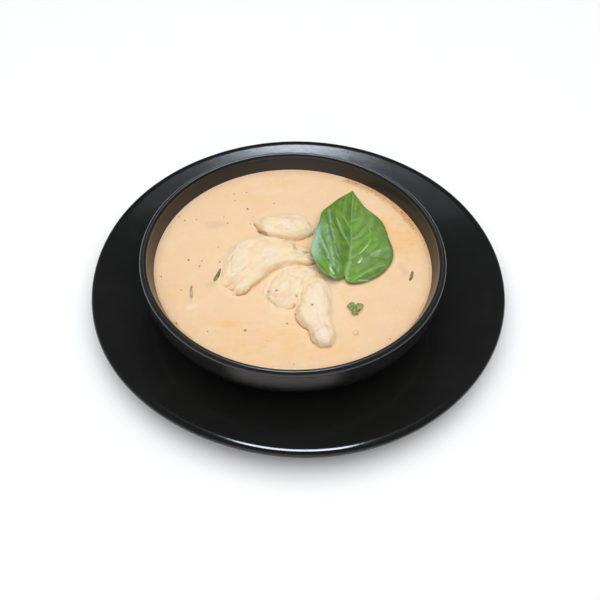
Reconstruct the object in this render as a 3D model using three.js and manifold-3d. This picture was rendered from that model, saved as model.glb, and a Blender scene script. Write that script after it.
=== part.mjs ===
// A bowl of tom kha soup: a black glazed bowl standing on a black plate, filled with coconut soup
// that holds four pieces of chicken, a basil leaf, a sprig of herb and three slivers of stem.
// Millimetres, +Z up. The origin is on the table, under the middle of the plate, and the soup is
// seen from the -Y side.
import * as THREE from "three";
import { mergeVertices } from "three/addons/utils/BufferGeometryUtils.js";
import Module from "manifold-3d";

// Clearance between pieces that touch, and the facets of a full turn.
const GAP = 0.3;
const TURN_FACETS = 64;

// The plate: a flat floor and a flange that rises to a gentle crest by a small round edge, on a
// foot ring.
const PLATE_RADIUS = 115;
const PLATE_HEIGHT = 14.2;
const PLATE_FLOOR_Z = 6.8;
const PLATE_FLOOR_RADIUS = 60;
const PLATE_EDGE_RADIUS = 2;
// The crest's radius of curvature, and the flange's slope beside it in degrees.
const PLATE_CREST = { radius: 12, slope: 12 };
const PLATE_FOOT = { radius: 57, width: 5, height: 2.6 };
// Handles of the curve of its flange and the curve of its underside, as [radius, height].
const PLATE_FLANGE_HANDLES = [[95, 10.6], [76, 6.9]];
const PLATE_UNDERSIDE_CURVE = { start: [80, 4.2], handles: [[94, 5.6], [104, 7.6]], end: [112.4, 10.2] };
// Its edge is a little uneven: waves in a full turn, their height, and the bearing of a crest.
const PLATE_EDGE_WAVES = [
  { count: 2, height: 0.28, crest: 52 },
  { count: 3, height: 0.15, crest: 66 },
  { count: 4, height: 0.17, crest: 26 },
  { count: 5, height: 0.13, crest: -1 },
  { count: 6, height: 0.11, crest: -22 },
];

// The bowl: steep walls that turn in to a foot ring. It stands off the plate's middle and is a
// little out of round, by a stretch along X and along Y.
const BOWL_OFFSET = { x: -3.5, y: -11.15 };
const BOWL_STRETCH = { x: 1.0016, y: 0.993 };
const BOWL_RIM_RADIUS = 79.4;
const BOWL_RIM_THICKNESS = 3.8;
const BOWL_HEIGHT = 34.8;
const BOWL_STRAIGHT_WALL = 9;
const BOWL_FLOOR_THICKNESS = 4;
const BOWL_FOOT = { radius: 44, width: 4.2, height: 2 };
const BOWL_FLOOR_RADIUS = 44;
// Handles of the curves of its wall, as [radius, height].
const BOWL_OUTSIDE_HANDLES = [[66, 4], [78.8, 12]];
const BOWL_INSIDE_HANDLES = [[70.6, 18.9], [69.6, 5.6]];
const FOOT_SLOPE = 0.8;

// The soup, filled to a little under the rim, and its distance from the bowl's inside.
const SOUP_BELOW_RIM = 9.5;
const SOUP_CLEARANCE = 0.36;

const BOWL_FOOT_Z = PLATE_FLOOR_Z + GAP;
const SOUP_LEVEL = BOWL_FOOT_Z + BOWL_HEIGHT - SOUP_BELOW_RIM;

// Where the food's own places are measured from, near the bowl's axis, at the soup's level.
const FOOD_ORIGIN = { x: -3.9, y: -10.64 };

// Each lump of chicken is one or more lobes. A lobe's rows run along its middle line: x and y, z
// above the soup, then its half width and half height there.
const CHICKEN_LEFT_LOBES = [
  [
    [-32.6, -25.6, -2, 5.4, 3.2],
    [-30, -14, -1, 7.2, 4.6],
    [-21.5, 2.2, -0.4, 11.4, 5.4],
    [-5, 3.6, -0.2, 8.4, 5.3],
    [11.5, 1.6, -1.4, 6.4, 4.4],
  ],
  [
    [-29.2, -28, -1.6, 5, 3.2],
    [-22.7, -18.6, -0.2, 4.8, 4.2],
    [-12.3, -6.3, 0.6, 5.2, 4.4],
    [3, -1.6, 0.2, 4.6, 4.4],
    [13.5, -3.5, -1.2, 3.6, 4],
  ],
];
const CHICKEN_TOP_LOBES = [
  [
    [-23, 25.5, -1.2, 3.4, 3.2],
    [-14.5, 22.4, 0.3, 7.7, 4.9],
    [-4, 21, 0.7, 8.4, 5.2],
    [5, 20.8, 0.2, 7.1, 4.7],
    [13.5, 19.8, -1.4, 3.7, 3.6],
  ],
  [
    [-5, 28.8, -1.6, 3, 3.2],
    [1.5, 29.2, -1, 3.4, 3.6],
    [7.5, 26.8, -2, 2.8, 3],
  ],
];
const CHICKEN_CENTRE_LOBES = [
  [
    [-5.6, -37.6, -1.6, 6.4, 3.4],
    [-4.2, -29, -0.9, 10, 4.6],
    [-2.2, -20.5, -0.6, 11.6, 5],
    [3.4, -13.6, -0.8, 8.2, 4.7],
    [15, -11.6, -1.9, 4.6, 3.8],
  ],
];
const CHICKEN_TAIL_LOBES = [
  [
    [14.5, -13, -2, 5.6, 4.2],
    [13.2, -22, -0.9, 7.6, 5],
    [11.6, -33, -0.7, 9, 5],
    [12, -40.5, -0.6, 9.2, 5],
    [14.9, -48.5, -1, 6.8, 4.6],
  ],
  [
    [12.4, -44, -1.6, 4.6, 4],
    [15.8, -50.4, -0.4, 6.6, 5.2],
    [16.6, -57.8, -1.4, 5, 4.2],
  ],
];
const CHICKEN_LOBE_STEPS = 11;
const CHICKEN_LOBE_SIDES = 12;
// Shallow flutes along the meat's fibres: how many go round a lobe, and their depth.
const CHICKEN_FLUTES = { count: 5, depth: 0.035 };

// The basil leaf, from its base to its tip along the midrib, with a heart-shaped base.
const LEAF_BASE = { x: 27.3, y: -12.8 };
const LEAF_TIP = { x: 33.8, y: 54.3 };
const LEAF_MIDRIB_BOW = 0.7;
const LEAF_HALF_WIDTH = { left: 17.5, right: 24.8 };
const LEAF_WIDEST_AT = 0.326;
const LEAF_FULLNESS = { left: 1.19, right: 1.98 };
// Where its outline swells or draws in, as [share of the way along, share of the half width].
const LEAF_SWELLS = {
  length: 0.09,
  left: [[0.86, 0.057], [0.66, 0.147], [0.45, 0.034], [0.24, 0.1], [0.1, 0.024]],
  right: [[0.8, -0.174], [0.64, 0.047], [0.44, -0.046], [0.24, 0.029], [0.1, 0.037]],
};
const LEAF_BASE_LOBE = { left: 4.6, right: 5.8, reach: 0.6, crowding: 0.24 };
const LEAF_THICKNESS = 0.8;
const LEAF_LOWEST = 0.5;
const LEAF_LIFT = { height: 4.6, from: 34, to: 9 };
const LEAF_PLEATS = { count: 3.5, height: 0.55 };
const LEAF_CUP = 0.8;
const LEAF_STEPS = 26;
const LEAF_STEP_CROWDING = 1.7;
const LEAF_ACROSS = 12;

// The sprig of herb: a small leaf with rounded lobes, lying on the soup.
const HERB_PLACE = { x: 32.2, y: -33.3, turn: 25 };
const HERB_RADIUS = 3.3;
const HERB_LOBES = [
  { count: 3, depth: 0.26 },
  { count: 8, depth: 0.1 },
];
const HERB_THICKNESS = 0.7;
const HERB_CURL = 0.35;
const HERB_FACETS = 32;
const HERB_RINGS = 3;

// Slivers of stem, half sunk in the soup and one with it: rows as for the chicken's lobes.
const SLIVERS = [
  [
    [-36.9, -7.6, -0.3, 0.9, 0.8],
    [-38.1, -12.6, 0, 1.1, 0.9],
    [-40, -18, -0.3, 1.5, 0.8],
  ],
  [
    [-51.2, -20.4, -0.4, 0.6, 0.7],
    [-50.9, -25.5, -0.2, 0.8, 0.7],
    [-49.9, -30.6, -0.4, 0.6, 0.7],
  ],
  [
    [63.4, -6.2, -0.4, 0.7, 0.7],
    [62.6, -10, -0.2, 0.9, 0.8],
    [60.9, -14, -0.4, 0.7, 0.7],
  ],
];
const SLIVER_STEPS = 5;
const SLIVER_SIDES = 6;

const wasm = await Module();
wasm.setup();

// ---- closed meshes and booleans ----

// Merges shared vertices, drops faces with no area and turns the faces outwards.
function weld(geometry) {
  const bare = new THREE.BufferGeometry();
  bare.setAttribute("position", geometry.getAttribute("position"));
  bare.setIndex(geometry.getIndex());
  const merged = mergeVertices(bare, 1e-3);
  const corners = merged.getIndex().array;
  const kept = [];
  for (let i = 0; i < corners.length; i += 3) {
    const [a, b, c] = corners.slice(i, i + 3);
    if (a !== b && b !== c && c !== a) kept.push(a, b, c);
  }
  merged.setIndex(kept);
  if (signedVolume(merged) < 0) merged.setIndex(kept.reverse());
  return merged;
}

function signedVolume(geometry) {
  const position = geometry.getAttribute("position");
  const corners = geometry.getIndex().array;
  const [a, b, c] = [0, 1, 2].map(() => new THREE.Vector3());
  let volume = 0;
  for (let i = 0; i < corners.length; i += 3) {
    a.fromBufferAttribute(position, corners[i]);
    b.fromBufferAttribute(position, corners[i + 1]);
    c.fromBufferAttribute(position, corners[i + 2]);
    volume += a.dot(b.cross(c)) / 6;
  }
  return volume;
}

function toManifold(geometry) {
  const welded = weld(geometry);
  return new wasm.Manifold(
    new wasm.Mesh({
      numProp: 3,
      vertProperties: new Float32Array(welded.getAttribute("position").array),
      triVerts: new Uint32Array(welded.getIndex().array),
    }),
  );
}

// The largest single body of a solid, so that a cut leaves no loose scrap.
function toGeometry(solid) {
  const bodies = solid.decompose();
  const largest = bodies.reduce((a, b) => (a.volume() >= b.volume() ? a : b));
  const mesh = largest.getMesh();
  const geometry = new THREE.BufferGeometry();
  geometry.setAttribute("position", new THREE.BufferAttribute(mesh.vertProperties, 3));
  geometry.setIndex(new THREE.BufferAttribute(mesh.triVerts, 1));
  return geometry;
}

const union = (solids) => solids.reduce((sum, solid) => sum.add(solid));

// ---- round dishes ----

// Turns a closed outline of [radius, height] points about the Z axis.
function turned(outline) {
  const points = outline.map(([radius, z]) => new THREE.Vector2(radius, z));
  return new THREE.LatheGeometry(points, TURN_FACETS).rotateX(Math.PI / 2);
}

// Points of a cubic curve between two ends with two handles, both ends included.
function bend(start, startHandle, endHandle, end, steps) {
  const [a, b, c, d] = [start, startHandle, endHandle, end].map(([x, y]) => new THREE.Vector2(x, y));
  return new THREE.CubicBezierCurve(a, b, c, d).getPoints(steps).map((p) => [p.x, p.y]);
}

// Points of a round edge about a centre, by bearings in degrees, both ends included.
function roundEdge([x, y], radius, from, to, steps) {
  const arc = [];
  for (let i = 0; i <= steps; i++) {
    const angle = THREE.MathUtils.degToRad(THREE.MathUtils.lerp(from, to, i / steps));
    arc.push([x + radius * Math.cos(angle), y + radius * Math.sin(angle)]);
  }
  return arc;
}

function footRing({ radius, width, height }, baseZ) {
  return [
    [radius - width / 2 - FOOT_SLOPE, baseZ + height],
    [radius - width / 2, baseZ],
    [radius + width / 2, baseZ],
    [radius + width / 2 + FOOT_SLOPE, baseZ + height],
  ];
}

function plateGeometry() {
  const crestRadius = PLATE_RADIUS - PLATE_EDGE_RADIUS;
  const edge = [crestRadius, PLATE_HEIGHT - PLATE_EDGE_RADIUS];
  const crestCentre = [crestRadius, PLATE_HEIGHT - PLATE_CREST.radius];
  const crest = roundEdge(crestCentre, PLATE_CREST.radius, 90, 90 + PLATE_CREST.slope, 2);
  const flangeEnds = [crest.at(-1), [PLATE_FLOOR_RADIUS, PLATE_FLOOR_Z]];
  const under = PLATE_UNDERSIDE_CURVE;
  const outline = [
    [0, PLATE_FOOT.height],
    ...footRing(PLATE_FOOT, 0),
    ...bend(under.start, ...under.handles, under.end, 4),
    ...roundEdge(edge, PLATE_EDGE_RADIUS, -40, 90, 6),
    ...crest.slice(1, -1),
    ...bend(flangeEnds[0], ...PLATE_FLANGE_HANDLES, flangeEnds[1], 6),
    [0, PLATE_FLOOR_Z],
  ];
  const geometry = turned(outline);
  const position = geometry.getAttribute("position");
  for (let i = 0; i < position.count; i++) {
    const x = position.getX(i);
    const y = position.getY(i);
    const bearing = Math.atan2(y, x);
    let swell = 0;
    for (const { count, height, crest } of PLATE_EDGE_WAVES) {
      swell += height * Math.cos(count * (bearing - THREE.MathUtils.degToRad(crest)));
    }
    const share = (Math.hypot(x, y) / PLATE_RADIUS) ** 4;
    const stretch = 1 + (swell * share) / PLATE_RADIUS;
    position.setXY(i, x * stretch, y * stretch);
  }
  return weld(geometry);
}

// The bowl's inner wall from the rim down to its axis, as [radius, height] points.
function bowlInside() {
  const top = BOWL_HEIGHT - BOWL_RIM_THICKNESS / 2;
  const floor = BOWL_FOOT.height + BOWL_FLOOR_THICKNESS - 1;
  const mouth = BOWL_RIM_RADIUS - BOWL_RIM_THICKNESS;
  return [...bend([mouth, top], ...BOWL_INSIDE_HANDLES, [BOWL_FLOOR_RADIUS, floor], 7), [0, floor]];
}

function bowlGeometry() {
  const rimMiddle = [BOWL_RIM_RADIUS - BOWL_RIM_THICKNESS / 2, BOWL_HEIGHT - BOWL_RIM_THICKNESS / 2];
  const wallTop = [BOWL_RIM_RADIUS - 0.1, rimMiddle[1] - BOWL_STRAIGHT_WALL];
  const outline = [
    [0, BOWL_FOOT.height],
    ...footRing(BOWL_FOOT, 0),
    ...bend([BOWL_FOOT.radius + 6, BOWL_FOOT.height + 0.5], ...BOWL_OUTSIDE_HANDLES, wallTop, 6),
    ...roundEdge(rimMiddle, BOWL_RIM_THICKNESS / 2, 0, 180, 6),
    ...bowlInside().slice(1),
  ];
  return weld(turned(outline).scale(BOWL_STRETCH.x, BOWL_STRETCH.y, 1));
}

// The soup as if nothing were in it: it keeps clear of the bowl's wall and floor.
function soupBody() {
  const level = BOWL_HEIGHT - SOUP_BELOW_RIM;
  const inside = bowlInside();
  const wall = inside.filter(([radius, z]) => radius > 0 && z < level - 1);
  const above = inside.filter(([, z]) => z >= level - 1).at(-1);
  const share = (level - above[1]) / (wall[0][1] - above[1]);
  const edgeRadius = THREE.MathUtils.lerp(above[0], wall[0][0], share);
  const clear = ([radius, z]) => [radius - SOUP_CLEARANCE, z + SOUP_CLEARANCE];
  const outline = [
    [0, inside.at(-1)[1] + SOUP_CLEARANCE],
    ...wall.map(clear).reverse(),
    [edgeRadius - SOUP_CLEARANCE, level],
    [0, level],
  ];
  return toManifold(turned(outline).scale(BOWL_STRETCH.x, BOWL_STRETCH.y, 1));
}

// ---- soft lumps ----

// A closed lump along a curved middle line, rounded at both ends. grow adds to it all round.
function lobe(rows, { steps, sides, flutes = { count: 0, depth: 0 }, grow = 0 }) {
  const middle = new THREE.CatmullRomCurve3(rows.map(([x, y, z]) => new THREE.Vector3(x, y, z)));
  const halves = rows.map(([, , , width, height]) => new THREE.Vector3(width, height, 0));
  const girth = new THREE.CatmullRomCurve3(halves);
  const endRound = 0.3;
  const up = new THREE.Vector3(0, 0, 1);
  const vertices = [];
  for (let i = 0; i <= steps; i++) {
    // Steps crowd towards the two ends, where the lump rounds off.
    const along = (1 - Math.cos((Math.PI * i) / steps)) / 2;
    const fromEnd = Math.min(along, 1 - along) / endRound;
    const fullness = fromEnd >= 1 ? 1 : Math.sqrt(1 - (1 - fromEnd) ** 2);
    const centre = middle.getPoint(along);
    const tangent = middle.getTangent(along);
    const size = girth.getPoint(along);
    const sideways = new THREE.Vector3().crossVectors(up, tangent).normalize();
    const over = new THREE.Vector3().crossVectors(tangent, sideways);
    centre.addScaledVector(tangent, grow * (2 * along - 1));
    for (let j = 0; j < sides; j++) {
      const angle = (2 * Math.PI * j) / sides;
      const flute = 1 + flutes.depth * Math.cos(flutes.count * angle + 3 * along);
      const width = (size.x * flute + grow) * fullness * Math.cos(angle);
      const height = (size.y * flute + grow) * fullness * Math.sin(angle);
      const point = centre.clone().addScaledVector(sideways, width).addScaledVector(over, height);
      vertices.push(point.x, point.y, point.z);
    }
  }
  const corners = [];
  for (let i = 0; i < steps; i++) {
    for (let j = 0; j < sides; j++) {
      const next = (j + 1) % sides;
      const [a, b] = [i * sides + j, i * sides + next];
      const [c, d] = [a + sides, b + sides];
      corners.push(a, b, d, a, d, c);
    }
  }
  return closed(vertices, corners);
}

function closed(vertices, corners) {
  const geometry = new THREE.BufferGeometry();
  geometry.setAttribute("position", new THREE.Float32BufferAttribute(vertices, 3));
  geometry.setIndex(corners);
  return weld(geometry);
}

function chicken(lobes, grow = 0) {
  const shape = { steps: CHICKEN_LOBE_STEPS, sides: CHICKEN_LOBE_SIDES, flutes: CHICKEN_FLUTES, grow };
  return union(lobes.map((rows) => toManifold(lobe(rows, shape))));
}

// ---- leaves ----

// A thin sheet with the same triangles on both faces. at(i, j) gives a point of its middle surface
// as [x, y, z], for i up to rows and j up to columns.
function sheet(at, rows, columns, thickness) {
  const vertices = [];
  for (const side of [0.5, -0.5]) {
    for (let i = 0; i <= rows; i++) {
      for (let j = 0; j <= columns; j++) {
        const [x, y, z] = at(i, j);
        vertices.push(x, y, z + side * thickness);
      }
    }
  }
  const below = (rows + 1) * (columns + 1);
  const index = (i, j) => i * (columns + 1) + j;
  const corners = [];
  for (let i = 0; i < rows; i++) {
    for (let j = 0; j < columns; j++) {
      const [a, b] = [index(i, j), index(i, j + 1)];
      const [c, d] = [index(i + 1, j), index(i + 1, j + 1)];
      corners.push(a, b, d, a, d, c);
      corners.push(below + a, below + d, below + b, below + a, below + c, below + d);
    }
  }
  const wall = (a, b) => corners.push(b, a, below + a, b, below + a, below + b);
  for (let i = 0; i < rows; i++) {
    wall(index(i + 1, 0), index(i, 0));
    wall(index(i, columns), index(i + 1, columns));
  }
  for (let j = 0; j < columns; j++) {
    wall(index(0, j), index(0, j + 1));
    wall(index(rows, j + 1), index(rows, j));
  }
  return closed(vertices, corners);
}

// How wide the blade is on one side, at a share of the way along it from 0 to 1.
function leafBreadth(along, side) {
  const a = LEAF_WIDEST_AT;
  const fullness = LEAF_FULLNESS[side];
  const rise = (along / a) ** (fullness * a);
  const fall = ((1 - along) / (1 - a)) ** (fullness * (1 - a));
  let swell = 1;
  for (const [at, size] of LEAF_SWELLS[side]) {
    swell += size * Math.exp(-(((along - at) / LEAF_SWELLS.length) ** 2));
  }
  return rise * fall * swell;
}

// A point of the blade's middle surface, along from base to tip and across from left to right.
function leafPoint(along, across) {
  const side = across < 0 ? "left" : "right";
  const reach = Math.abs(across);
  const arch = Math.sin(Math.PI * along);
  const fromBase = Math.min(1, along / LEAF_BASE_LOBE.reach) ** LEAF_BASE_LOBE.crowding;
  const lobeDepth = LEAF_BASE_LOBE[side] * Math.sin(Math.PI * fromBase) * reach;
  const out = across * LEAF_HALF_WIDTH[side] * leafBreadth(along, side);
  const x = THREE.MathUtils.lerp(LEAF_BASE.x, LEAF_TIP.x, along) - LEAF_MIDRIB_BOW * arch + out;
  const y = THREE.MathUtils.lerp(LEAF_BASE.y, LEAF_TIP.y, along) - lobeDepth;
  const lift = LEAF_LIFT.height * THREE.MathUtils.smoothstep(-x, -LEAF_LIFT.from, -LEAF_LIFT.to);
  const pleat = side === "left" ? Math.sin(Math.PI * LEAF_PLEATS.count * reach) ** 2 * arch : 0;
  const rise = lift + LEAF_CUP * reach ** 2 * arch + LEAF_PLEATS.height * pleat;
  return [x, y, LEAF_LOWEST + LEAF_THICKNESS / 2 + rise];
}

function leafGeometry() {
  const at = (i, j) => leafPoint((i / LEAF_STEPS) ** LEAF_STEP_CROWDING, (2 * j) / LEAF_ACROSS - 1);
  return sheet(at, LEAF_STEPS, LEAF_ACROSS, LEAF_THICKNESS);
}

// The sprig is a disc of rings whose outline goes in and out, closed over its two faces.
function herbGeometry() {
  const vertices = [];
  const corners = [];
  const turn = THREE.MathUtils.degToRad(HERB_PLACE.turn);
  for (const side of [0.5, -0.5]) {
    for (let ring = 0; ring <= HERB_RINGS; ring++) {
      for (let k = 0; k < HERB_FACETS; k++) {
        const angle = (2 * Math.PI * k) / HERB_FACETS;
        let radius = 1;
        for (const { count, depth } of HERB_LOBES) radius += depth * Math.cos(count * angle);
        const share = ring / HERB_RINGS;
        const out = HERB_RADIUS * radius * share;
        const curl = HERB_CURL * share * (1 + Math.sin(5 * angle));
        const z = LEAF_LOWEST + HERB_THICKNESS / 2 + curl + side * HERB_THICKNESS;
        vertices.push(
          HERB_PLACE.x + out * Math.cos(angle + turn),
          HERB_PLACE.y + out * Math.sin(angle + turn),
          z,
        );
      }
    }
  }
  const below = (HERB_RINGS + 1) * HERB_FACETS;
  for (let k = 0; k < HERB_FACETS; k++) {
    const next = (k + 1) % HERB_FACETS;
    for (let ring = 0; ring < HERB_RINGS; ring++) {
      const [a, b] = [ring * HERB_FACETS + k, ring * HERB_FACETS + next];
      const [c, d] = [a + HERB_FACETS, b + HERB_FACETS];
      corners.push(a, c, d, a, d, b);
      corners.push(below + a, below + d, below + c, below + a, below + b, below + d);
    }
    const [rim, rimNext] = [HERB_RINGS * HERB_FACETS + k, HERB_RINGS * HERB_FACETS + next];
    corners.push(rim, below + rim, below + rimNext, rim, below + rimNext, rimNext);
  }
  return closed(vertices, corners);
}

// ---- the whole dish ----

const MATERIALS = {
  plate_glaze: { color: "#141414", roughness: 0.34, metalness: 0 },
  bowl_glaze: { color: "#151413", roughness: 0.3, metalness: 0 },
  soup: { color: "#f3d1a8", roughness: 0.35, metalness: 0 },
  chicken: { color: "#f6ddb9", roughness: 0.45, metalness: 0 },
  basil: { color: "#77994e", roughness: 0.35, metalness: 0 },
  herb: { color: "#77823f", roughness: 0.5, metalness: 0 },
};

function piece(name, geometry, material) {
  const mesh = new THREE.Mesh(geometry, new THREE.MeshStandardMaterial(MATERIALS[material]));
  mesh.name = name;
  return mesh;
}

// The four pieces of chicken. Each one gives way to the piece that lies over it.
function chickenPieces() {
  const top = chicken(CHICKEN_TOP_LOBES);
  const left = chicken(CHICKEN_LEFT_LOBES).subtract(chicken(CHICKEN_TOP_LOBES, GAP));
  const centre = chicken(CHICKEN_CENTRE_LOBES).subtract(chicken(CHICKEN_LEFT_LOBES, GAP));
  const tail = chicken(CHICKEN_TAIL_LOBES)
    .subtract(chicken(CHICKEN_LEFT_LOBES, GAP))
    .subtract(chicken(CHICKEN_CENTRE_LOBES, GAP));
  return { chicken_top: top, chicken_left: left, chicken_centre: centre, chicken_tail: tail };
}

// The soup with the slivers of stem fused to it, cut round the chicken.
function soupGeometry() {
  const allLobes = [CHICKEN_TOP_LOBES, CHICKEN_LEFT_LOBES, CHICKEN_CENTRE_LOBES, CHICKEN_TAIL_LOBES];
  const fromFood = [
    BOWL_OFFSET.x - FOOD_ORIGIN.x,
    BOWL_OFFSET.y - FOOD_ORIGIN.y,
    SOUP_BELOW_RIM - BOWL_HEIGHT,
  ];
  const shape = { steps: SLIVER_STEPS, sides: SLIVER_SIDES };
  const slivers = SLIVERS.map((rows) => toManifold(lobe(rows, shape)));
  let soup = union([soupBody().translate(fromFood), ...slivers]);
  for (const lobes of allLobes) soup = soup.subtract(chicken(lobes, GAP));
  return toGeometry(soup);
}

const bowl = piece("bowl", bowlGeometry(), "bowl_glaze");
bowl.position.set(BOWL_OFFSET.x, BOWL_OFFSET.y, BOWL_FOOT_Z);

const contents = new THREE.Group();
contents.position.set(FOOD_ORIGIN.x, FOOD_ORIGIN.y, SOUP_LEVEL);
contents.add(piece("soup", soupGeometry(), "soup"));
for (const [name, solid] of Object.entries(chickenPieces())) {
  contents.add(piece(name, toGeometry(solid), "chicken"));
}
contents.add(piece("basil_leaf", leafGeometry(), "basil"));
contents.add(piece("herb_sprig", herbGeometry(), "herb"));

const dish = new THREE.Group();
dish.add(piece("plate", plateGeometry(), "plate_glaze"), bowl, contents);

export default dish;
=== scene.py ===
"""A bowl of tom kha soup on its plate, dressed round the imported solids.

The scene is in metres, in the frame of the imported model: +Z up, the origin on the table under the
middle of the plate, and the soup seen from the -Y side. The pieces' own sizes are millimetres, as
on a drawing. The food is measured from an origin of its own near the bowl's axis, and its heights
from the soup's level.
"""

import logging
import math
from dataclasses import dataclass, field
from enum import Enum
from typing import Callable, Dict, Iterable, List, Optional, Sequence, Tuple, Union

import bmesh
import bpy
import numpy as np
from mathutils import Matrix, Vector, noise
from mathutils.bvhtree import BVHTree

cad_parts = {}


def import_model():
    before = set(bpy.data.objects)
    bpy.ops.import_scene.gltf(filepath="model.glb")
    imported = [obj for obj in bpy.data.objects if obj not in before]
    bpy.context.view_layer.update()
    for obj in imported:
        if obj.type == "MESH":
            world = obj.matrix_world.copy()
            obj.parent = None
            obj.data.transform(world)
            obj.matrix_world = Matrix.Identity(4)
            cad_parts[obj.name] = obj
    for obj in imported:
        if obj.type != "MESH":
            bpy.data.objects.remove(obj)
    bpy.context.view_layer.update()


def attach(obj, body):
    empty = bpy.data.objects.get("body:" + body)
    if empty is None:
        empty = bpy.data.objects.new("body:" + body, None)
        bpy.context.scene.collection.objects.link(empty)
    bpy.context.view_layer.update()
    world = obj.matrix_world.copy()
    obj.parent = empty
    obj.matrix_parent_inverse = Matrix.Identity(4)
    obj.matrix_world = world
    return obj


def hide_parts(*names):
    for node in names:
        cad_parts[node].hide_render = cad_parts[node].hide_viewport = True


Colour = Tuple[float, float, float, float]
Pair = Tuple[float, float]
Point = Tuple[float, float, float]
Row = Tuple[float, ...]
Profile = Sequence[Pair]
Piece = bpy.types.Object
Material = bpy.types.Material
Input = Union["Value", float, int, Sequence[float]]

MM = 0.001
BODY = "root"

# In millimetres, in the frame: where the bowl's foot stands, how far the bowl is out of round, what
# the food is measured from, and the soup's level.
BOWL_PLACE: Point = (-3.5, -11.15, 7.1)
BOWL_STRETCH: Point = (1.0016, 0.993, 1.0)
FOOD_ORIGIN: Pair = (-3.9, -10.64)
SOUP_LEVEL = 32.4

log = logging.getLogger("soup")


# ---- numbers and colours ----


def srgb(red: int, green: int, blue: int) -> Colour:
    """A screen colour from 0 to 255 as the linear colour that the shaders take."""

    def linear(level: float) -> float:
        """One channel from screen to linear."""
        share = level / 255
        return share / 12.92 if share <= 0.04045 else ((share + 0.055) / 1.055) ** 2.4

    return (linear(red), linear(green), linear(blue), 1.0)


def smoothstep(value: np.ndarray, low: float, high: float) -> np.ndarray:
    """Rises smoothly from 0 at low to 1 at high.

    Args:
        value: The numbers to shape.
        low: Where the rise starts.
        high: Where it ends. It may be less than low, and then the result falls.

    Returns:
        The shaped numbers, each from 0 to 1.
    """
    share = np.clip((value - low) / (high - low), 0.0, 1.0)
    return share * share * (3.0 - 2.0 * share)


def in_soup(points: np.ndarray) -> np.ndarray:
    """Takes points from the food's origin and the soup's level to the frame, in metres."""
    return (np.asarray(points, dtype=float) + (*FOOD_ORIGIN, SOUP_LEVEL)) * MM


def from_food(points: np.ndarray) -> np.ndarray:
    """Takes points in the frame, in metres, to millimetres from the food's origin."""
    return points / MM - (*FOOD_ORIGIN, SOUP_LEVEL)


def rough(points: np.ndarray, size: float, seed: float = 0.0, octaves: int = 1) -> np.ndarray:
    """Smooth noise at each point.

    Args:
        points: Places in millimetres, with two numbers each or three.
        size: How wide a lump of the noise is, in millimetres.
        seed: Moves the noise, so that two uses differ.
        octaves: How many layers, each half as wide and half as strong.

    Returns:
        One number from about -1 to 1 for each point.
    """
    octave_shift = 7.3
    total = np.zeros(len(points))
    for octave in range(octaves):
        places = np.asarray(points) * (2**octave / size) + seed + octave_shift * octave
        total += [noise.noise((*place, 0.0)[:3]) / 2**octave for place in places]
    return total


@dataclass(frozen=True)
class Stroke:
    """A soft line over a surface, seen from above, in millimetres from the food's origin.

    Attributes:
        path: Its corners.
        width: How far from it it is felt.
        strength: How strongly at most: a share of a colour, or a height in millimetres.
    """

    path: Tuple[Pair, ...]
    width: float
    strength: float = 1.0

    def felt(self, places: np.ndarray) -> np.ndarray:
        """How strongly each place feels it.

        Args:
            places: The places, of which only x and y count.

        Returns:
            A number for each place, from 0 to the strength.
        """
        nearest = np.full(len(places), np.inf)
        for start, end in zip(self.path, self.path[1:]):
            way = np.subtract(end, start)
            off = places[:, :2] - start
            share = np.clip(off @ way / (way @ way), 0, 1)
            nearest = np.minimum(nearest, np.hypot(*(off - share[:, None] * way).T))
        return self.strength * np.exp(-((nearest / self.width) ** 2))


def marked(places: np.ndarray, marks: Iterable[Stroke]) -> np.ndarray:
    """What each place feels of the stroke that it feels most.

    Args:
        places: The places.
        marks: The strokes.

    Returns:
        A number for each place, 0 where no stroke is near.
    """
    total = np.zeros(len(places))
    for mark in marks:
        total = np.maximum(total, mark.felt(places))
    return total


# ---- shaders ----


@dataclass(frozen=True)
class Grain:
    """Noise over a surface.

    Attributes:
        size: How wide a lump of it is, in millimetres.
        detail: How many finer layers it has.
        edges: The levels where a patch begins and where it is full, if it is to make patches.
        turn: The bearing of the long side of its lumps, in degrees.
        stretch: How many times longer than wide its lumps are.
    """

    size: float
    detail: float = 2.0
    edges: Optional[Pair] = None
    turn: float = 0.0
    stretch: float = 1.0


class Value:
    """A shader socket that takes part in Python arithmetic."""

    def __init__(self, shade: "Shade", socket: bpy.types.NodeSocket) -> None:
        """Keeps the socket and the shade that it belongs to."""
        self.shade = shade
        self.socket = socket

    def _math(self, operation: str, first: Input, second: Input) -> "Value":
        """Adds a Math node."""
        return self.shade.node("ShaderNodeMath", {"operation": operation}, {0: first, 1: second})

    def __add__(self, other: Input) -> "Value":
        """This plus other."""
        return self._math("ADD", self, other)

    __radd__ = __add__

    def __sub__(self, other: Input) -> "Value":
        """This minus other."""
        return self._math("SUBTRACT", self, other)

    def __rsub__(self, other: Input) -> "Value":
        """Other minus this."""
        return self._math("SUBTRACT", other, self)

    def __mul__(self, other: Input) -> "Value":
        """This times other."""
        return self._math("MULTIPLY", self, other)

    __rmul__ = __mul__

    def rise(self, low: float, high: float) -> "Value":
        """A smooth rise from 0 where this is low to 1 where it is high."""
        return self.shade.node(
            "ShaderNodeMapRange",
            {"interpolation_type": "SMOOTHSTEP"},
            {"Value": self, "From Min": low, "From Max": high},
        )


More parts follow.
